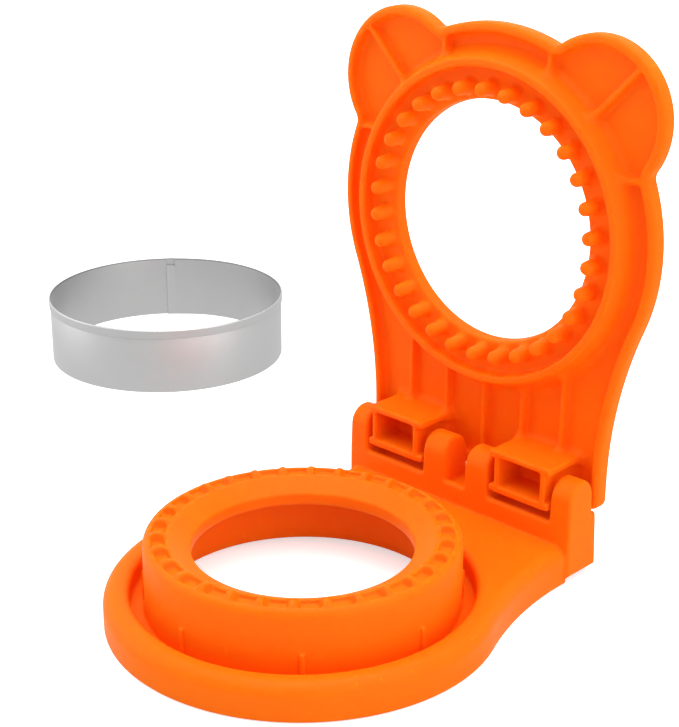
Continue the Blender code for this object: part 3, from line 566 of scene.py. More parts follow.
def hinge_field(x, y, z):
    """The bar across the back with its four ears, the gaps between them and the holes for the studs."""
    draft = EAR_DRAFT * np.clip((z - BAR_DECK) / (EAR_TOP - BAR_DECK), 0.0, 1.0)
    side = outline_distance(y[0], z[0], hinge_profile())[None]
    field = overlap(x - HINGE_HALF_WIDTH + draft, side, BROAD)
    front, back, top = BLOCK_FRONT - OVERRUN, EAR_BACK + 2.0 * OVERRUN, EAR_TOP + OVERRUN
    lip_back = BLOCK_FRONT + BAR_LIP
    stop = [(EAR_BACK, BAR_DECK, SOFT), (EAR_BACK, BAR_STOP_TOP, 0.0)]
    for low, high, behind, floor in ((-1.0, INNER_EAR_START, stop, BAR_STOP_TOP),
                                     (INNER_EAR_END, OUTER_EAR_START, [], BAR_DECK)):
        gap = rounded([(front, BAR_LIP_TOP, 0.0), (lip_back, BAR_LIP_TOP, EDGE), (lip_back, BAR_DECK, FULL),
                       *behind, (back, floor, 0.0), (back, top, 0.0), (front, top, 0.0)])
        gap = outline_distance(y[0], z[0], gap)[None]
        field = cut(field, overlap(gap, between(x, low - draft, high + draft), ROUND), BROAD)
    hollow = np.maximum(between(y, BLOCK_FRONT + WALL, HINGE_DISTANCE + HEEL_STEP_REACH - WALL),
                        np.maximum(x - HINGE_HALF_WIDTH + WALL, z - BAR_DECK + BAR_DECK_THICKNESS))
    field = cut(field, hollow, EDGE)
    pin = np.sqrt((y - HINGE_DISTANCE) ** 2 + (z - HINGE_HEIGHT) ** 2) - STUD_HOLE_RADIUS
    reach = between(x, INNER_EAR_END - STUD_ENGAGEMENT, OUTER_EAR_START + STUD_ENGAGEMENT)
    return cut(field, np.maximum(pin, reach), FINE)


def folded(turn, radius, count):
    """Places across and along one of several equal spokes, as if all lay on the first."""
    pitch = FULL_TURN / count
    fold = (turn + pitch / 2.0) % pitch - pitch / 2.0
    return radius * np.abs(np.sin(fold)), radius * np.cos(fold)


def ridge_field(turn, radius, z):
    """The blunt ridges across the land."""
    across, along = (place[..., None] for place in folded(turn, radius, TOOTH_COUNT))
    middle = (LAND_OUTER + LAND_INNER) / 2.0
    crest = RING_HEIGHT + RIDGE_HEIGHT
    rise = (crest - z) / (LAND_DEPTH + RIDGE_HEIGHT)
    flank = (across - RIDGE_CREST / 2.0 - (RIDGE_WIDTH - RIDGE_CREST) / 2.0 * rise) * RIDGE_FLANK_LEAN
    ends = (np.abs(along - middle) - RIDGE_CREST_HALF_LENGTH - RIDGE_END_RUN * rise) * RIDGE_END_LEAN
    ridge = overlap(flank, overlap(ends, z - crest, RIDGE_END_ROUNDING), EDGE)
    return np.maximum(ridge, RING_HEIGHT - LAND_DEPTH - FULL - z)


def cutter_rib_field(turn, radius, z):
    """The short upright ribs at the foot of the ring, which keep the cutter off it."""
    across, along = (place[..., None] for place in folded(turn, radius, CUTTER_RIB_COUNT))
    across = across - CUTTER_RIB_WIDTH / 2.0
    proud = np.maximum(along - RING_RADIUS - CUTTER_RIB_PROUD, RING_RADIUS - CUTTER_RIB_ROOT - along)
    height = between(z, MOAT_FLOOR - EDGE, MOAT_FLOOR + CUTTER_RIB_HEIGHT)
    return overlap(overlap(across, proud, CRISP), height, CRISP)


def base_field(x, y, z):
    plan = outline_distance(x[..., 0], y[..., 0], base_outline())[..., None]
    radius = np.sqrt(x[..., 0] ** 2 + y[..., 0] ** 2)
    r = radius[..., None]
    top = RIM_HEIGHT - RIM_FRONT_FALL * (BLOCK_FRONT - y) / (BLOCK_FRONT + RIM_RADIUS)
    field = overlap(overlap(plan, z - top, RIM_ROUNDING), -z, EDGE)
    field = np.maximum(field, y - BLOCK_FRONT - WALL / 2.0)
    hollow = np.maximum(overlap(plan + WALL, z - top + WALL, HOLLOW_FILLET), MOAT_RADIUS + MOAT_WALL - r)
    hollow = np.maximum(hollow, y - BLOCK_FRONT)
    field = cut(field, hollow, FINE)
    field = join(field, hinge_field(x, y, z), FULL)
    field = cut(field, r - MOAT_RADIUS, np.where(z > RIM_HEIGHT / 2.0, MOAT_FLARE, FINE).astype(np.float32))
    turn = np.arctan2(y[..., 0], x[..., 0])
    ring = turned_distance(radius, z, ring_section(), RING_REACH)
    ring = join(ring, ridge_field(turn, radius, z), FINE)
    ring = join(ring, cutter_rib_field(turn, radius, z), CRISP)
    return join(field, ring, SOFT)


# The lid, in its own plan: X across, Y through its thickness while shut, Z up from the ring's centre

def guard_section():
    """The guard that hangs from the panel, and the thicker land inside it."""
    mouth, root = LID_MOUTH_RADIUS - GUARD_LAND_OVERLAP, LID_PANEL + GUARD_SINK
    return rounded([
        (GUARD_FOOT_RADIUS, root, 0.0), (GUARD_FOOT_RADIUS, LID_PANEL - GUARD_FOOT_RISE, FINE),
        (GUARD_OUTER, LID_GUARD, WIDE), (GUARD_INNER, LID_GUARD, ROUND),
        (GUARD_INNER, LID_LAND, GUARD_ROOT_FILLET), (mouth, LID_LAND, 0.0), (mouth, root, 0.0)])


def mouth_section():
    """The opening in the middle of the lid, which narrows and flares at the back."""
    back = LID_MOUTH_RADIUS - LID_MOUTH_TAPER
    flare = back + LID_MOUTH_FLARE
    above, below = LID_BACK + 2.0 * OVERRUN, LID_GUARD - 2.0 * OVERRUN
    return rounded([
        (0.0, above, 0.0), (flare, above, 0.0), (flare, LID_BACK, BROAD),
        (back, LID_BACK - LID_MOUTH_FLARE, BROAD), (LID_MOUTH_RADIUS, LID_LAND, 0.0),
        (LID_MOUTH_RADIUS, below, 0.0), (0.0, below, 0.0)])


def groove_section():
    """The shallow groove round the opening in the lid's back."""
    near = LID_MOUTH_RADIUS + LID_GROOVE_INSET
    far = near + LID_GROOVE_WIDTH
    floor = LID_BACK - LID_GROOVE_DEPTH
    return rounded([(far, LID_BACK + OVERRUN, 0.0), (far, floor, FULL), (near, floor, FULL),
                    (near, LID_BACK + OVERRUN, 0.0)])


def lid_ribs():
    """Both ends of each rib in the lid's plan, and the height of its crest."""
    root = GUARD_OUTER
    edge = HEAD_RADIUS - EDGE_WALL / 2.0
    far = math.hypot(LID_EAR_SIDE, LID_EAR_RISE) + LID_EAR_RADIUS - EDGE_WALL / 2.0
    ribs = []
    for i in range(LID_RIB_COUNT // 2 + 1):
        side = i * RIB_PITCH
        foot = KNUCKLE_ABOVE - SINK if side > KNUCKLE_START + RIB_THICKNESS else RIB_FOOT
        ribs.append(((side, -math.sqrt(root ** 2 - side ** 2)), (side, foot), LID_PANEL - RIB_HEIGHT))
    for ends in (((reach * math.cos(DIAGONAL), reach * math.sin(DIAGONAL)) for reach in (root, far)),
                 ((BROW_RIB_SIDE, math.sqrt(reach ** 2 - BROW_RIB_SIDE ** 2)) for reach in (root, edge)),
                 ((math.sqrt(reach ** 2 - CHEEK_RIB_RISE ** 2), CHEEK_RIB_RISE) for reach in (root, edge))):
        ribs.append((*ends, LID_EDGE + HEAD_RIB_FALL))
    return ribs


def rib_field(x, y, z, start, end, crest):
    """A straight rib between two places in the lid's plan."""
    length = math.dist(start, end)
    ux, uz = (end[0] - start[0]) / length, (end[1] - start[1]) / length
    along = (x - start[0]) * ux + (z - start[1]) * uz
    root = LID_PANEL + SINK
    half = RIB_THICKNESS / 2.0 + RIB_DRAFT * np.clip((y - crest) / (root - crest), 0.0, 1.0)
    across = np.abs((z - start[1]) * ux - (x - start[0]) * uz) - half
    return overlap(np.maximum(across, between(along, 0.0, length)), between(y, crest, root), SOFT)


def lid_field(x, y, z):
    flat_x, flat_z = x[:, 0, :], z[:, 0, :]
    plan = outline_distance(flat_x, flat_z, lid_outline())[:, None, :]
    radius = np.sqrt(flat_x ** 2 + flat_z ** 2)
    field = overlap(overlap(plan, y - LID_BACK, BROAD), LID_EDGE - y, EDGE_ROUNDING)
    field = cut(field, overlap(plan + EDGE_WALL, y - LID_PANEL, RECESS_FILLET), WIDE)
    for start, end, crest in lid_ribs():
        field = join(field, rib_field(x, y, z, start, end, crest), WIDE)

    def turned(section):
        return np.moveaxis(turned_distance(radius, y, section, LID_REACH), 2, 1)

    field = join(field, turned(guard_section()), GUARD_FILLET)
    field = cut(field, turned(mouth_section()), FULL)
    field = cut(field, turned(groove_section()), EDGE)
    across, along = folded(np.arctan2(flat_z, flat_x) + RIGHT_ANGLE, radius, TOOTH_COUNT)
    stem = np.sqrt(across ** 2 + (along - TOOTH_CIRCLE_RADIUS) ** 2)[:, None, :]
    tip = LID_LAND - TOOTH_LENGTH
    girth = TOOTH_TIP_RADIUS + (TOOTH_ROOT_RADIUS - TOOTH_TIP_RADIUS) * (y - tip) / TOOTH_LENGTH
    tooth = overlap(stem - girth, between(y, tip, LID_LAND + TOOTH_SINK), TOOTH_END_ROUNDING)
    field = join(field, tooth, TOOTH_FILLET)
    return knuckle_field(field, x, y, z)


def knuckle_field(field, x, y, z):
    """Adds both hollow knuckles with their shelves, front pockets and studs."""
    anchor = LID_PANEL + SINK
    depth = between(y, KNUCKLE_FRONT, anchor)
    box = overlap(between(x, KNUCKLE_START, KNUCKLE_END),
                  overlap(between(z, KNUCKLE_BELOW, KNUCKLE_ABOVE), depth, EDGE), EDGE)
    for low in (KNUCKLE_BELOW, KNUCKLE_ABOVE - KNUCKLE_SHELF):
        shelf = overlap(between(z, low, low + KNUCKLE_SHELF), depth, SOFT)
        shelf = overlap(shelf, between(x, KNUCKLE_SHELF_START, KNUCKLE_SHELF_END), SOFT)
        box = join(box, shelf, FINE)
    field = join(field, box, KNUCKLE_FILLET)
    height = between(z, KNUCKLE_BELOW + KNUCKLE_SHELF, KNUCKLE_ABOVE - KNUCKLE_WALL)
    depth = between(y, KNUCKLE_FRONT - OVERRUN, KNUCKLE_FRONT + POCKET_DEPTH)
    pocket = overlap(between(x, KNUCKLE_START + KNUCKLE_WALL, KNUCKLE_END - KNUCKLE_WALL),
                     overlap(height, depth, EDGE), EDGE)
    field = cut(field, pocket, FINE)
    pin = np.sqrt((z + HINGE_DISTANCE) ** 2 + (y - HINGE_HEIGHT) ** 2) - STUD_RADIUS
    for low, high in ((INNER_EAR_END - STUD_ENGAGEMENT, KNUCKLE_START + KNUCKLE_WALL / 2.0),
                      (KNUCKLE_END - KNUCKLE_WALL / 2.0, OUTER_EAR_START + STUD_ENGAGEMENT)):
        field = join(field, overlap(pin, between(x, low, high), FINE), STUD_FILLET)
    return field


# Finishes

def group_tree(name, inputs, outputs):
    tree = bpy.data.node_groups.new(name, "ShaderNodeTree")
    for label, value in inputs:
        socket = tree.interface.new_socket(label, in_out="INPUT", socket_type="NodeSocketFloat")
        socket.default_value = value
    for label in outputs:
        tree.interface.new_socket(label, in_out="OUTPUT", socket_type="NodeSocketFloat")
    return tree, tree.nodes.new("NodeGroupInput"), tree.nodes.new("NodeGroupOutput")


def node(tree, kind, **values):
    made = tree.nodes.new(kind)
    for key, value in values.items():
        setattr(made, key, value)
    return made


def feed(sockets, *values):
    """Link an output to each socket in turn, or set the socket's own value."""
    for socket, value in zip(sockets, values):
        if isinstance(value, bpy.types.NodeSocket):
            socket.id_data.links.new(value, socket)
        else:
            socket.default_value = value


def fill(item, **values):
    """Feed the sockets of a node, named by their labels."""
    feed([item.inputs[label.replace("_", " ")] for label in values], *values.values())
    return item


def maths(tree, operation, *values, clamp=False):
    made = node(tree, "ShaderNodeMath", operation=operation, use_clamp=clamp)
    feed(made.inputs, *values)
    return made.outputs[0]


def risen(tree, value, start, contrast):
    """How far a value is past its start, as a mask from none to full."""
    return maths(tree, "MULTIPLY", maths(tree, "SUBTRACT", value, start), contrast, clamp=True)


def noise(tree, vector, scale, detail, roughness):
    return fill(node(tree, "ShaderNodeTexNoise"), Vector=vector, Scale=scale, Detail=detail,
                Roughness=roughness).outputs["Fac"]


def stretched(tree, vector, scale, slant=(0.0, 0.0, 0.0)):
    return fill(node(tree, "ShaderNodeMapping"), Vector=vector, Scale=scale, Rotation=slant).outputs[0]


def mould_grain():
    """The fine spark-worn texture that a steel mould leaves, and the slow drift of its pigment."""
    tree, given, made = group_tree("Mould grain", (("Grains per metre", 3000.0), ("Drift per metre", 28.0)),
                                   ("Height", "Drift"))
    place = node(tree, "ShaderNodeTexCoord").outputs["Object"]
    fine = noise(tree, place, given.outputs["Grains per metre"], 3.0, 0.6)
    broad = noise(tree, place, given.outputs["Drift per metre"], 2.0, 0.5)
    fill(made, Height=fine, Drift=broad)
    return tree


def handling_marks():
    """Faint smears and fine scuffs from use, as a mask from none to full."""
    tree, given, made = group_tree("Handling marks", (("Marks per metre", 60.0), ("Amount", 0.5)),
                                   ("Mask", "Scuffs"))
    place = node(tree, "ShaderNodeTexCoord").outputs["Object"]
    patches = noise(tree, place, given.outputs["Marks per metre"], 4.0, 0.65)
    spread = risen(tree, patches, SMEAR_START, SMEAR_CONTRAST)
    spread = maths(tree, "MULTIPLY", spread, given.outputs["Amount"], clamp=True)
    lines = noise(tree, stretched(tree, place, SCUFF_STRETCH, SCUFF_SLANT), SCUFFS_PER_METRE, 1.0, 0.4)
    lines = risen(tree, lines, SCUFF_START, SCUFF_CONTRAST)
    lines = maths(tree, "MULTIPLY", lines, given.outputs["Amount"], clamp=True)
    fill(made, Mask=spread, Scuffs=lines)
    return tree


def edge_highlight_and_rub():
    """Outward edges, as a mask: a highlight painted on the plastic's edges, and lighter rubbed edges on the
    steel.
    """
    tree, given, made = group_tree("Rubbed edges", (("Start", 0.52), ("Strength", 8.0)), ("Mask",))
    sharp = node(tree, "ShaderNodeNewGeometry").outputs["Pointiness"]
    fill(made, Mask=risen(tree, sharp, given.outputs["Start"], given.outputs["Strength"]))
    return tree


def strip_line():
    """A line along the strip at one distance across it, as a mask that fades at both sides."""
    tree, given, made = group_tree("Strip line", (("Place", 0.0), ("Half width", 0.00045)), ("Mask",))
    across = fill(node(tree, "ShaderNodeSeparateXYZ"), Vector=node(tree, "ShaderNodeTexCoord").outputs["UV"])
    away = maths(tree, "ABSOLUTE", maths(tree, "SUBTRACT", across.outputs["Y"], given.outputs["Place"]))
    away = maths(tree, "DIVIDE", away, given.outputs["Half width"])
    mask = maths(tree, "MULTIPLY", maths(tree, "SUBTRACT", 1.0, away), 2.0, clamp=True)
    fill(made, Mask=mask)
    return tree


def strip_edge_place():
    """How far across the strip its inner top edge is, from the outer foot."""
    section = strip_section(0.0)
    corner = [place for place, (r, z) in zip(section_run(section), section)
              if r < CUTTER_RADIUS - STRIP_THICKNESS / 2.0 and z > CUTTER_HEIGHT - STRIP_THICKNESS]
    return sum(corner) / len(corner)


def placed(tree, group, **values):
    made = node(tree, "ShaderNodeGroup")
    made.node_tree = group
    return fill(made, **values)


def mixed(tree, share, first, second, kind="MIX"):
    made = node(tree, "ShaderNodeMix", data_type="RGBA", blend_type=kind)
    shades = [(*value, 1.0) if isinstance(value, tuple) else value for value in (first, second)]
    feed((made.inputs[0], made.inputs[6], made.inputs[7]), share, *shades)
    return made.outputs[2]


def ranged(tree, value, low, high):
    return fill(node(tree, "ShaderNodeMapRange"), Value=value, To_Min=low, To_Max=high).outputs["Result"]


def relief_on(tree, height, relief):
    """Fine relief in a finish, from a strength and a depth."""
    bump = fill(node(tree, "ShaderNodeBump"), Strength=relief[0], Distance=relief[1], Height=height)
    return bump.outputs["Normal"]


def new_finish(name):
    material = bpy.data.materials.new(name)
    material.use_nodes = True
    tree = material.node_tree
    return material, tree, tree.nodes["Principled BSDF"]


def moulded_plastic(name, look, groups):
    """Glossy orange plastic with its fine grain, slow colour drift and smears, and a highlight painted
    lighter and yellower on its outward edges.
    """
    _, tree, shader = new_finish(name)
    colour = tuple(look.plastic_colour)
    deep = tuple(c * s for c, s in zip(colour, DEEP_TINT))
    light = tuple(min(1.0, c * s) for c, s in zip(colour, EDGE_HIGHLIGHT_TINT))
    grain = placed(tree, groups["grain"])
    marks = placed(tree, groups["marks"], Amount=look.wear)
    edges = placed(tree, groups["edges"])
    shade = mixed(tree, grain.outputs["Drift"], deep, colour)
    # Painted highlight: outward edges are painted lighter and yellower
    shade = mixed(tree, maths(tree, "MULTIPLY", edges.outputs["Mask"], EDGE_HIGHLIGHT_SHARE), shade, light)
    gloss = look.plastic_roughness
    rough = ranged(tree, marks.outputs["Mask"], gloss, gloss + SMEAR_DULLING)
    rough = maths(tree, "ADD", rough, maths(tree, "MULTIPLY", marks.outputs["Scuffs"], SCUFF_DULLING))
    fill(shader, Base_Color=shade, Roughness=rough, Specular_IOR_Level=look.plastic_shine, IOR=PLASTIC_IOR,
         Normal=relief_on(tree, grain.outputs["Height"], GRAIN_RELIEF), Subsurface_Weight=look.glow,
         Subsurface_Radius=GLOW_SPREAD, Subsurface_Scale=look.glow_depth)


def rolled_steel(name, look, groups):
    """Satin strip steel, with the fine lines of its rolling along the strip and soft smears."""
    _, tree, shader = new_finish(name)
    strip = node(tree, "ShaderNodeTexCoord").outputs["UV"]
    lines = noise(tree, stretched(tree, strip, ROLLING_STRETCH), ROLLING_LINES, 4.0, 0.6)
    darker_top_edge = placed(tree, groups["line"], Place=strip_edge_place())
    marks = placed(tree, groups["marks"], Amount=look.wear)
    edges = placed(tree, groups["edges"])
    tone = ranged(tree, lines, *ROLLING_TONES)
    shade = mixed(tree, 1.0, tuple(look.steel_colour), tone, "MULTIPLY")
    # Smears are darker grey, outward edges lighter grey, and a line along the inner top edge darker grey
    for mask, (share, grey) in ((marks, STEEL_SMEARS), (edges, STEEL_RUBBED), (darker_top_edge, STEEL_TOP_EDGE)):
        shade = mixed(tree, maths(tree, "MULTIPLY", mask.outputs["Mask"], share), shade, (grey, grey, grey))
    rough = ranged(tree, lines, *(look.steel_roughness + change for change in ROLLING_GLOSS))
    rough = maths(tree, "ADD", rough, maths(tree, "MULTIPLY", marks.outputs["Mask"], STEEL_SMEAR_DULLING))
    fill(shader, Base_Color=shade, Roughness=rough, Metallic=1.0,
         Normal=relief_on(tree, lines, ROLLING_RELIEF))


# Settings

def measure(name, description, default, low, high, digits):
    return FloatProperty(name=name, description=description, default=default, min=low, max=high,
                         unit="LENGTH", precision=digits)


def portion(name, description, default, low=0.0):
    return FloatProperty(name=name, description=description, default=default, min=low, max=1.0,
                         subtype="FACTOR")


def tint(name, description, default):
    return FloatVectorProperty(name=name, description=description, default=default, size=3, min=0.0,
                               max=1.0, subtype="COLOR")


def power(name, description, default):
    return FloatProperty(name=name, description=description, default=default, min=0.0, subtype="POWER")


class PressShape(bpy.types.PropertyGroup):
    """How finely the two mouldings and the strip are worked out."""

    fineness: measure("Fineness", "Distance between places in the field", 0.00032, 0.0001, 0.001, 5)
    draft_fineness: measure("Draft fineness", "The same while trying things", 0.00060, 0.0002, 0.002, 5)
    relaxing: IntProperty(name="Relaxing", description="Passes that even out the skin", default=2, min=0,
                          max=20)
    kept: portion("Faces kept", "Share of the skin's faces that stay", 0.5, 0.05)
    strip_steps: IntProperty(name="Strip steps", description="Steps round the steel cutter", default=256,
                             min=32)


class PressLook(bpy.types.PropertyGroup):
    """Colours and gloss of the finishes."""

    plastic_colour: tint("Plastic colour", "Pigment of both mouldings", (1.0, 0.172, 0.003))
    plastic_roughness: portion("Plastic roughness", "Gloss of the mouldings", 0.42)
    plastic_shine: portion("Plastic shine", "Strength of the mouldings' reflections", 0.07)
    glow: portion("Glow", "Share of light that scatters under the surface", 0.65)
    glow_depth: measure("Glow depth", "How far light travels under the surface", 0.0042, 0.0, 0.02, 4)
    steel_colour: tint("Steel colour", "Tint of the strip", (0.53, 0.53, 0.53))
    steel_roughness: portion("Steel roughness", "Satin of the strip", 0.46, 0.05)
    wear: portion("Wear", "Amount of smears and scuffs", 0.35)


class PressStudio(bpy.types.PropertyGroup):
    """The floor, the lamps and the camera."""

    floor_colour: tint("Floor colour", "Colour of the floor", (0.9, 0.9, 0.9))
    floor_glow: portion("Floor glow", "Even white that the floor shows beside the object", 0.6)
    top_power: power("Top lamp", "Power of the large lamp overhead", 14.0)
    left_power: power("Left lamp", "Power of the soft lamp at the left", 4.2)
    right_power: power("Right lamp", "Power of the soft lamp at the right", 4.7)
    room_light: FloatProperty(name="Room light", description="Even light from all round", default=0.47,
                              min=0.0)
    lens: FloatProperty(name="Lens", description="Focal length on a frame 36 mm tall", default=79.26,
                        min=10.0)


# Makers

def moulding(context, name, field, low, high, place, finish):
    """One moulding as an object: its field skinned, evened out and set in place."""
    shape = context.scene.press_shape
    step = shape.fineness
    margin = MARGIN_STEPS * step
    axes = block_points([near - margin for near in low], [far + margin for far in high], step)
    piece = polish(skin(name, field(*axes), *axes, step), shape.relaxing, shape.kept)
    piece.data.transform(Matrix.Translation(place))
    piece.data.materials.append(bpy.data.materials[finish])
    return piece


class PRESS_OT_base(bpy.types.Operator):
    """Make the moulded base with its crimping ring, moat, rim and hinge ears"""

    bl_idname = "press.make_base"
    bl_label = "Base"

    def execute(self, context):
        low, high = (0.0, -RIM_RADIUS, 0.0), (RIM_RADIUS, HINGE_DISTANCE + HEEL_FOOT_REACH, EAR_TOP)
        piece = moulding(context, "base", base_field, low, high, RING_CENTRE, "moulded_orange")
        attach(piece, "base")
        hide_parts("base_press")
        return {"FINISHED"}


class PRESS_OT_lid(bpy.types.Operator):
    """Make the moulded lid with its toothed ring, ribs, rounded ears and knuckles, standing open"""

    bl_idname = "press.make_lid"
    bl_label = "Lid"

    def execute(self, context):
        low = (0.0, KNUCKLE_FRONT, -HINGE_DISTANCE - LID_TAIL_REACH)
        high = (LID_EAR_SIDE + LID_EAR_RADIUS, LID_BACK, LID_EAR_RISE + LID_EAR_RADIUS)
        piece = moulding(context, "lid", lid_field, low, high, LID_CENTRE, "moulded_orange_lid")
        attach(piece, "lid")
        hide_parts("lid_press")
        return {"FINISHED"}


class PRESS_OT_cutter(bpy.types.Operator):
    """Make the steel cutter: a strip bent round, hemmed along the top and lapped at its seam"""

    bl_idname = "press.make_cutter"
    bl_label = "Cutter"

    def execute(self, context):
        steps = context.scene.press_shape.strip_steps
        piece = bent_strip("cutter", steps)
        piece.data.materials.append(bpy.data.materials["satin_strip"])
        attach(piece, "cutter")
        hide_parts("cutter_ring")
        return {"FINISHED"}


def strip_section(lap, notched=False):
    """Section of the strip, out and up over the hem and down inside, at one place round it."""
    back = CUTTER_RADIUS - STRIP_THICKNESS
    inner = back - lap
    folded_to = CUTTER_RADIUS + HEM_FOLD
    hem = CUTTER_HEIGHT - HEM_HEIGHT
    top = CUTTER_HEIGHT - NOTCH_DEPTH
    outside = [(CUTTER_RADIUS, 0.0, STRIP_EDGE), (CUTTER_RADIUS, hem - HEM_GROOVE, 0.0),
               (CUTTER_RADIUS - HEM_GROOVE / 2.0, hem, 0.0), (folded_to, hem, HEM_FOOT_ROUNDING),
               (folded_to, CUTTER_HEIGHT, FINE)]
    if notched:
        face = CUTTER_RADIUS - STRIP_THICKNESS / 2.0
        low = top - LAP_GROOVE
        inside = [(face, CUTTER_HEIGHT, STRIP_EDGE), (face, low, 0.0), (back, low, 0.0), (back, top, 0.0),
                  (inner, top, 0.0)]
    else:
        inside = [(inner, CUTTER_HEIGHT, STRIP_TOP_ROUNDING)]
        inside += [(inner, top - n * LAP_GROOVE, 0.0) for n in range(4)]
    return rounded(outside + inside + [(inner, 0.0, STRIP_EDGE)])


def section_run(section):
    """Distance along a section to each of its places, and round to the first again."""
    run = [0.0]
    for a, b in zip(section, section[1:] + section[:1]):
        run.append(run[-1] + math.dist(a, b))
    return run


def bent_strip(name, steps):
    """The strip bent round, with its lapped end inside and the corner of that end cut away."""
    tick = STEP_EDGE / CUTTER_RADIUS
    lap, notch = LAP_WIDTH / CUTTER_RADIUS, NOTCH_WIDTH / CUTTER_RADIUS
    places = []
    for start, end, notched in ((SEAM_ANGLE - notch, SEAM_ANGLE, True),
                                (SEAM_ANGLE, SEAM_ANGLE - notch + FULL_TURN, False)):
        count = max(2, math.ceil((end - start) / FULL_TURN * steps))
        for i in range(count + 1):
            angle = start + tick + (end - start - tick) * i / count
            share = max(0.0, min(1.0, (angle - SEAM_ANGLE - FULL_TURN + lap) / (lap - notch)))
            near = 1.0 if notched else share * share * (3.0 - 2.0 * share)
            places.append((angle, strip_section(STRIP_THICKNESS * near, notched), i == count))
    shape = bmesh.new()
    layer = shape.loops.layers.uv.new("strip")
    run = section_run(strip_section(0.0))
    rings = [[shape.verts.new((r * math.cos(angle), r * math.sin(angle), z)) for r, z in section]
             for angle, section, _ in places]
    for i, (angle, _, stepped) in enumerate(places):
        here, after = rings[i], rings[(i + 1) % len(rings)]
        ahead = places[(i + 1) % len(rings)][0]
        if ahead < angle:
            ahead += FULL_TURN
        for j in range(len(run) - 1):
            k = (j + 1) % len(here)
            face = shape.faces.new((here[j], after[j], after[k], here[k]))
            face.smooth = not stepped
            for loop, (a, b) in zip(face.loops, ((angle, j), (ahead, j), (ahead, j + 1), (angle, j + 1))):
                loop[layer].uv = (a * CUTTER_RADIUS, run[b])
    bmesh.ops.recalc_face_normals(shape, faces=shape.faces)
    mesh = bpy.data.meshes.new(name)
    shape.to_mesh(mesh)
    shape.free()
    mesh.set_sharp_from_angle(angle=SHARP_EDGE)
    mesh.transform(Matrix.Translation(CUTTER_CENTRE))
    return put(name, mesh)


class PRESS_OT_finishes(bpy.types.Operator):
    """Make the plastic and steel finishes"""

    bl_idname = "press.make_finishes"
    bl_label = "Finishes"

    def execute(self, context):
        look = context.scene.press_look
        groups = {"grain": mould_grain(), "marks": handling_marks(), "edges": edge_highlight_and_rub(),
                  "line": strip_line()}
        moulded_plastic("moulded_orange", look, groups)
        moulded_plastic("moulded_orange_lid", look, groups)
        rolled_steel("satin_strip", look, groups)
        return {"FINISHED"}


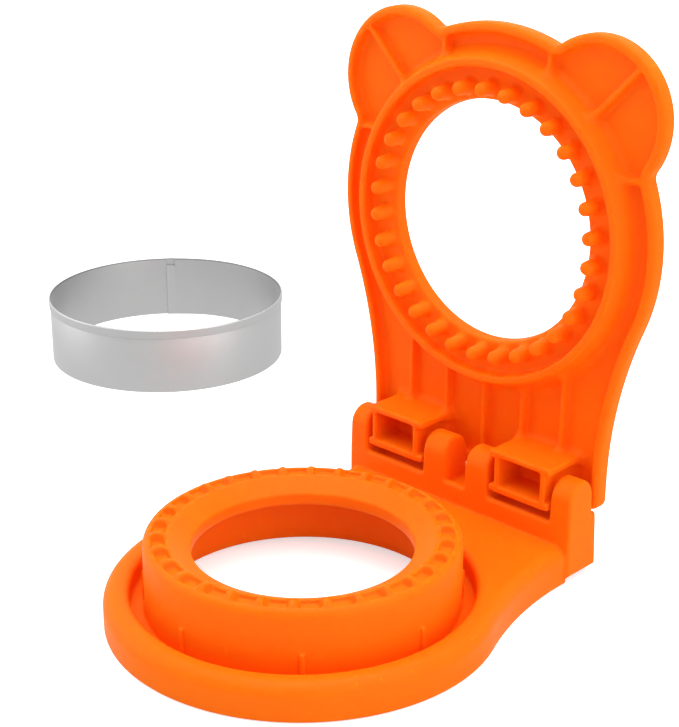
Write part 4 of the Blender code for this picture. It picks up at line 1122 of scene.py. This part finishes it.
class PRESS_OT_stage(bpy.types.Operator):
    """Make the pale floor, the soft lamps, the room light and the camera"""

    bl_idname = "press.make_stage"
    bl_label = "Stage"

    def execute(self, context):
        studio = context.scene.press_studio
        self.make_floor(studio)
        self.make_light(studio)
        self.make_camera(studio)
        context.scene.view_settings.view_transform = "Standard"
        return {"FINISHED"}

    def make_floor(self, studio):
        mesh = bpy.data.meshes.new("floor")
        shape = bmesh.new()
        bmesh.ops.create_grid(shape, x_segments=1, y_segments=1, size=FLOOR_HALF_WIDTH)
        shape.to_mesh(mesh)
        shape.free()
        floor = put("floor", mesh)
        floor.location = (0.0, 0.0, -FLOOR_DROP)
        material, tree, shader = new_finish("pale_floor")
        fill(shader, Base_Color=(*studio.floor_colour, 1.0), Roughness=FLOOR_ROUGHNESS,
             Specular_IOR_Level=FLOOR_SHINE, Emission_Color=WHITE)
        reach = node(tree, "ShaderNodeVectorMath", operation="LENGTH")
        feed(reach.inputs, node(tree, "ShaderNodeTexCoord").outputs["Object"])
        fade = fill(node(tree, "ShaderNodeMapRange", interpolation_type="SMOOTHSTEP"), From_Min=FADE_START,
                    From_Max=FADE_END, To_Min=studio.floor_glow, Value=reach.outputs["Value"])
        path = node(tree, "ShaderNodeLightPath")
        fill(shader, Emission_Strength=maths(tree, "MULTIPLY", fade.outputs["Result"],
                                             path.outputs["Is Camera Ray"]))
        plain = node(tree, "ShaderNodeEmission")
        mix = node(tree, "ShaderNodeMixShader")
        seen_through = maths(tree, "MAXIMUM", path.outputs["Is Glossy Ray"],
                             path.outputs["Is Transmission Ray"])
        feed(mix.inputs, seen_through, shader.outputs[0], plain.outputs[0])
        fill(tree.nodes["Material Output"], Surface=mix.outputs[0])
        mesh.materials.append(material)

    def make_light(self, studio):
        for name, place, width, setting in LAMPS:
            lamp = bpy.data.lights.new(name, "AREA")
            lamp.shape = "DISK"
            lamp.size = width
            lamp.energy = getattr(studio, setting)
            item = put(name, lamp)
            item.location = place
            item.rotation_euler = (LAMP_TARGET - Vector(place)).to_track_quat("-Z", "Y").to_euler()
        world = bpy.data.worlds.new("room")
        bpy.context.scene.world = world
        world.use_nodes = True
        tree = world.node_tree
        path = node(tree, "ShaderNodeLightPath")
        seen = maths(tree, "MAXIMUM", path.outputs["Is Camera Ray"], path.outputs["Is Glossy Ray"])
        seen = maths(tree, "MAXIMUM", seen, path.outputs["Is Transmission Ray"])
        fill(tree.nodes["Background"], Color=WHITE, Strength=ranged(tree, seen, studio.room_light, 1.0))

    def make_camera(self, studio):
        data = bpy.data.cameras.new("camera")
        data.sensor_fit = "VERTICAL"
        data.sensor_height = SENSOR_HEIGHT
        data.lens = studio.lens
        data.clip_start, data.clip_end = NEAREST, FARTHEST
        camera = put("camera", data)
        turn = (CAMERA_TARGET - CAMERA_PLACE).to_track_quat("-Z", "Y").to_matrix().to_4x4()
        camera.matrix_world = Matrix.Translation(CAMERA_PLACE) @ turn @ Matrix.Rotation(CAMERA_ROLL, 4, "Z")
        bpy.context.scene.camera = camera


class PRESS_PT_panel(bpy.types.Panel):
    """Sizes, colours and makers of the press"""

    bl_idname = "PRESS_PT_panel"
    bl_label = "Sandwich cutter and sealer"
    bl_space_type = "VIEW_3D"
    bl_region_type = "UI"
    bl_category = "Press"

    def draw(self, context):
        for group in (context.scene.press_shape, context.scene.press_look, context.scene.press_studio):
            box = self.layout.box()
            for name in group.bl_rna.properties.keys():
                if name not in {"rna_type", "name"}:
                    box.prop(group, name)
        for maker in MAKERS:
            self.layout.operator(maker.bl_idname)


MAKERS = (PRESS_OT_finishes, PRESS_OT_base, PRESS_OT_lid, PRESS_OT_cutter, PRESS_OT_stage)
CLASSES = (PressShape, PressLook, PressStudio, *MAKERS, PRESS_PT_panel)


def register():
    for item in CLASSES:
        bpy.utils.register_class(item)
    bpy.types.Scene.press_shape = PointerProperty(type=PressShape)
    bpy.types.Scene.press_look = PointerProperty(type=PressLook)
    bpy.types.Scene.press_studio = PointerProperty(type=PressStudio)


def unregister():
    del bpy.types.Scene.press_studio
    del bpy.types.Scene.press_look
    del bpy.types.Scene.press_shape
    for item in reversed(CLASSES):
        bpy.utils.unregister_class(item)


def main():
    register()
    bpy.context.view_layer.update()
    bpy.ops.press.make_finishes()
    bpy.ops.press.make_base()
    bpy.ops.press.make_lid()
    bpy.ops.press.make_cutter()
    bpy.ops.press.make_stage()
    bpy.context.view_layer.update()


if __name__ == "__main__":
    main()
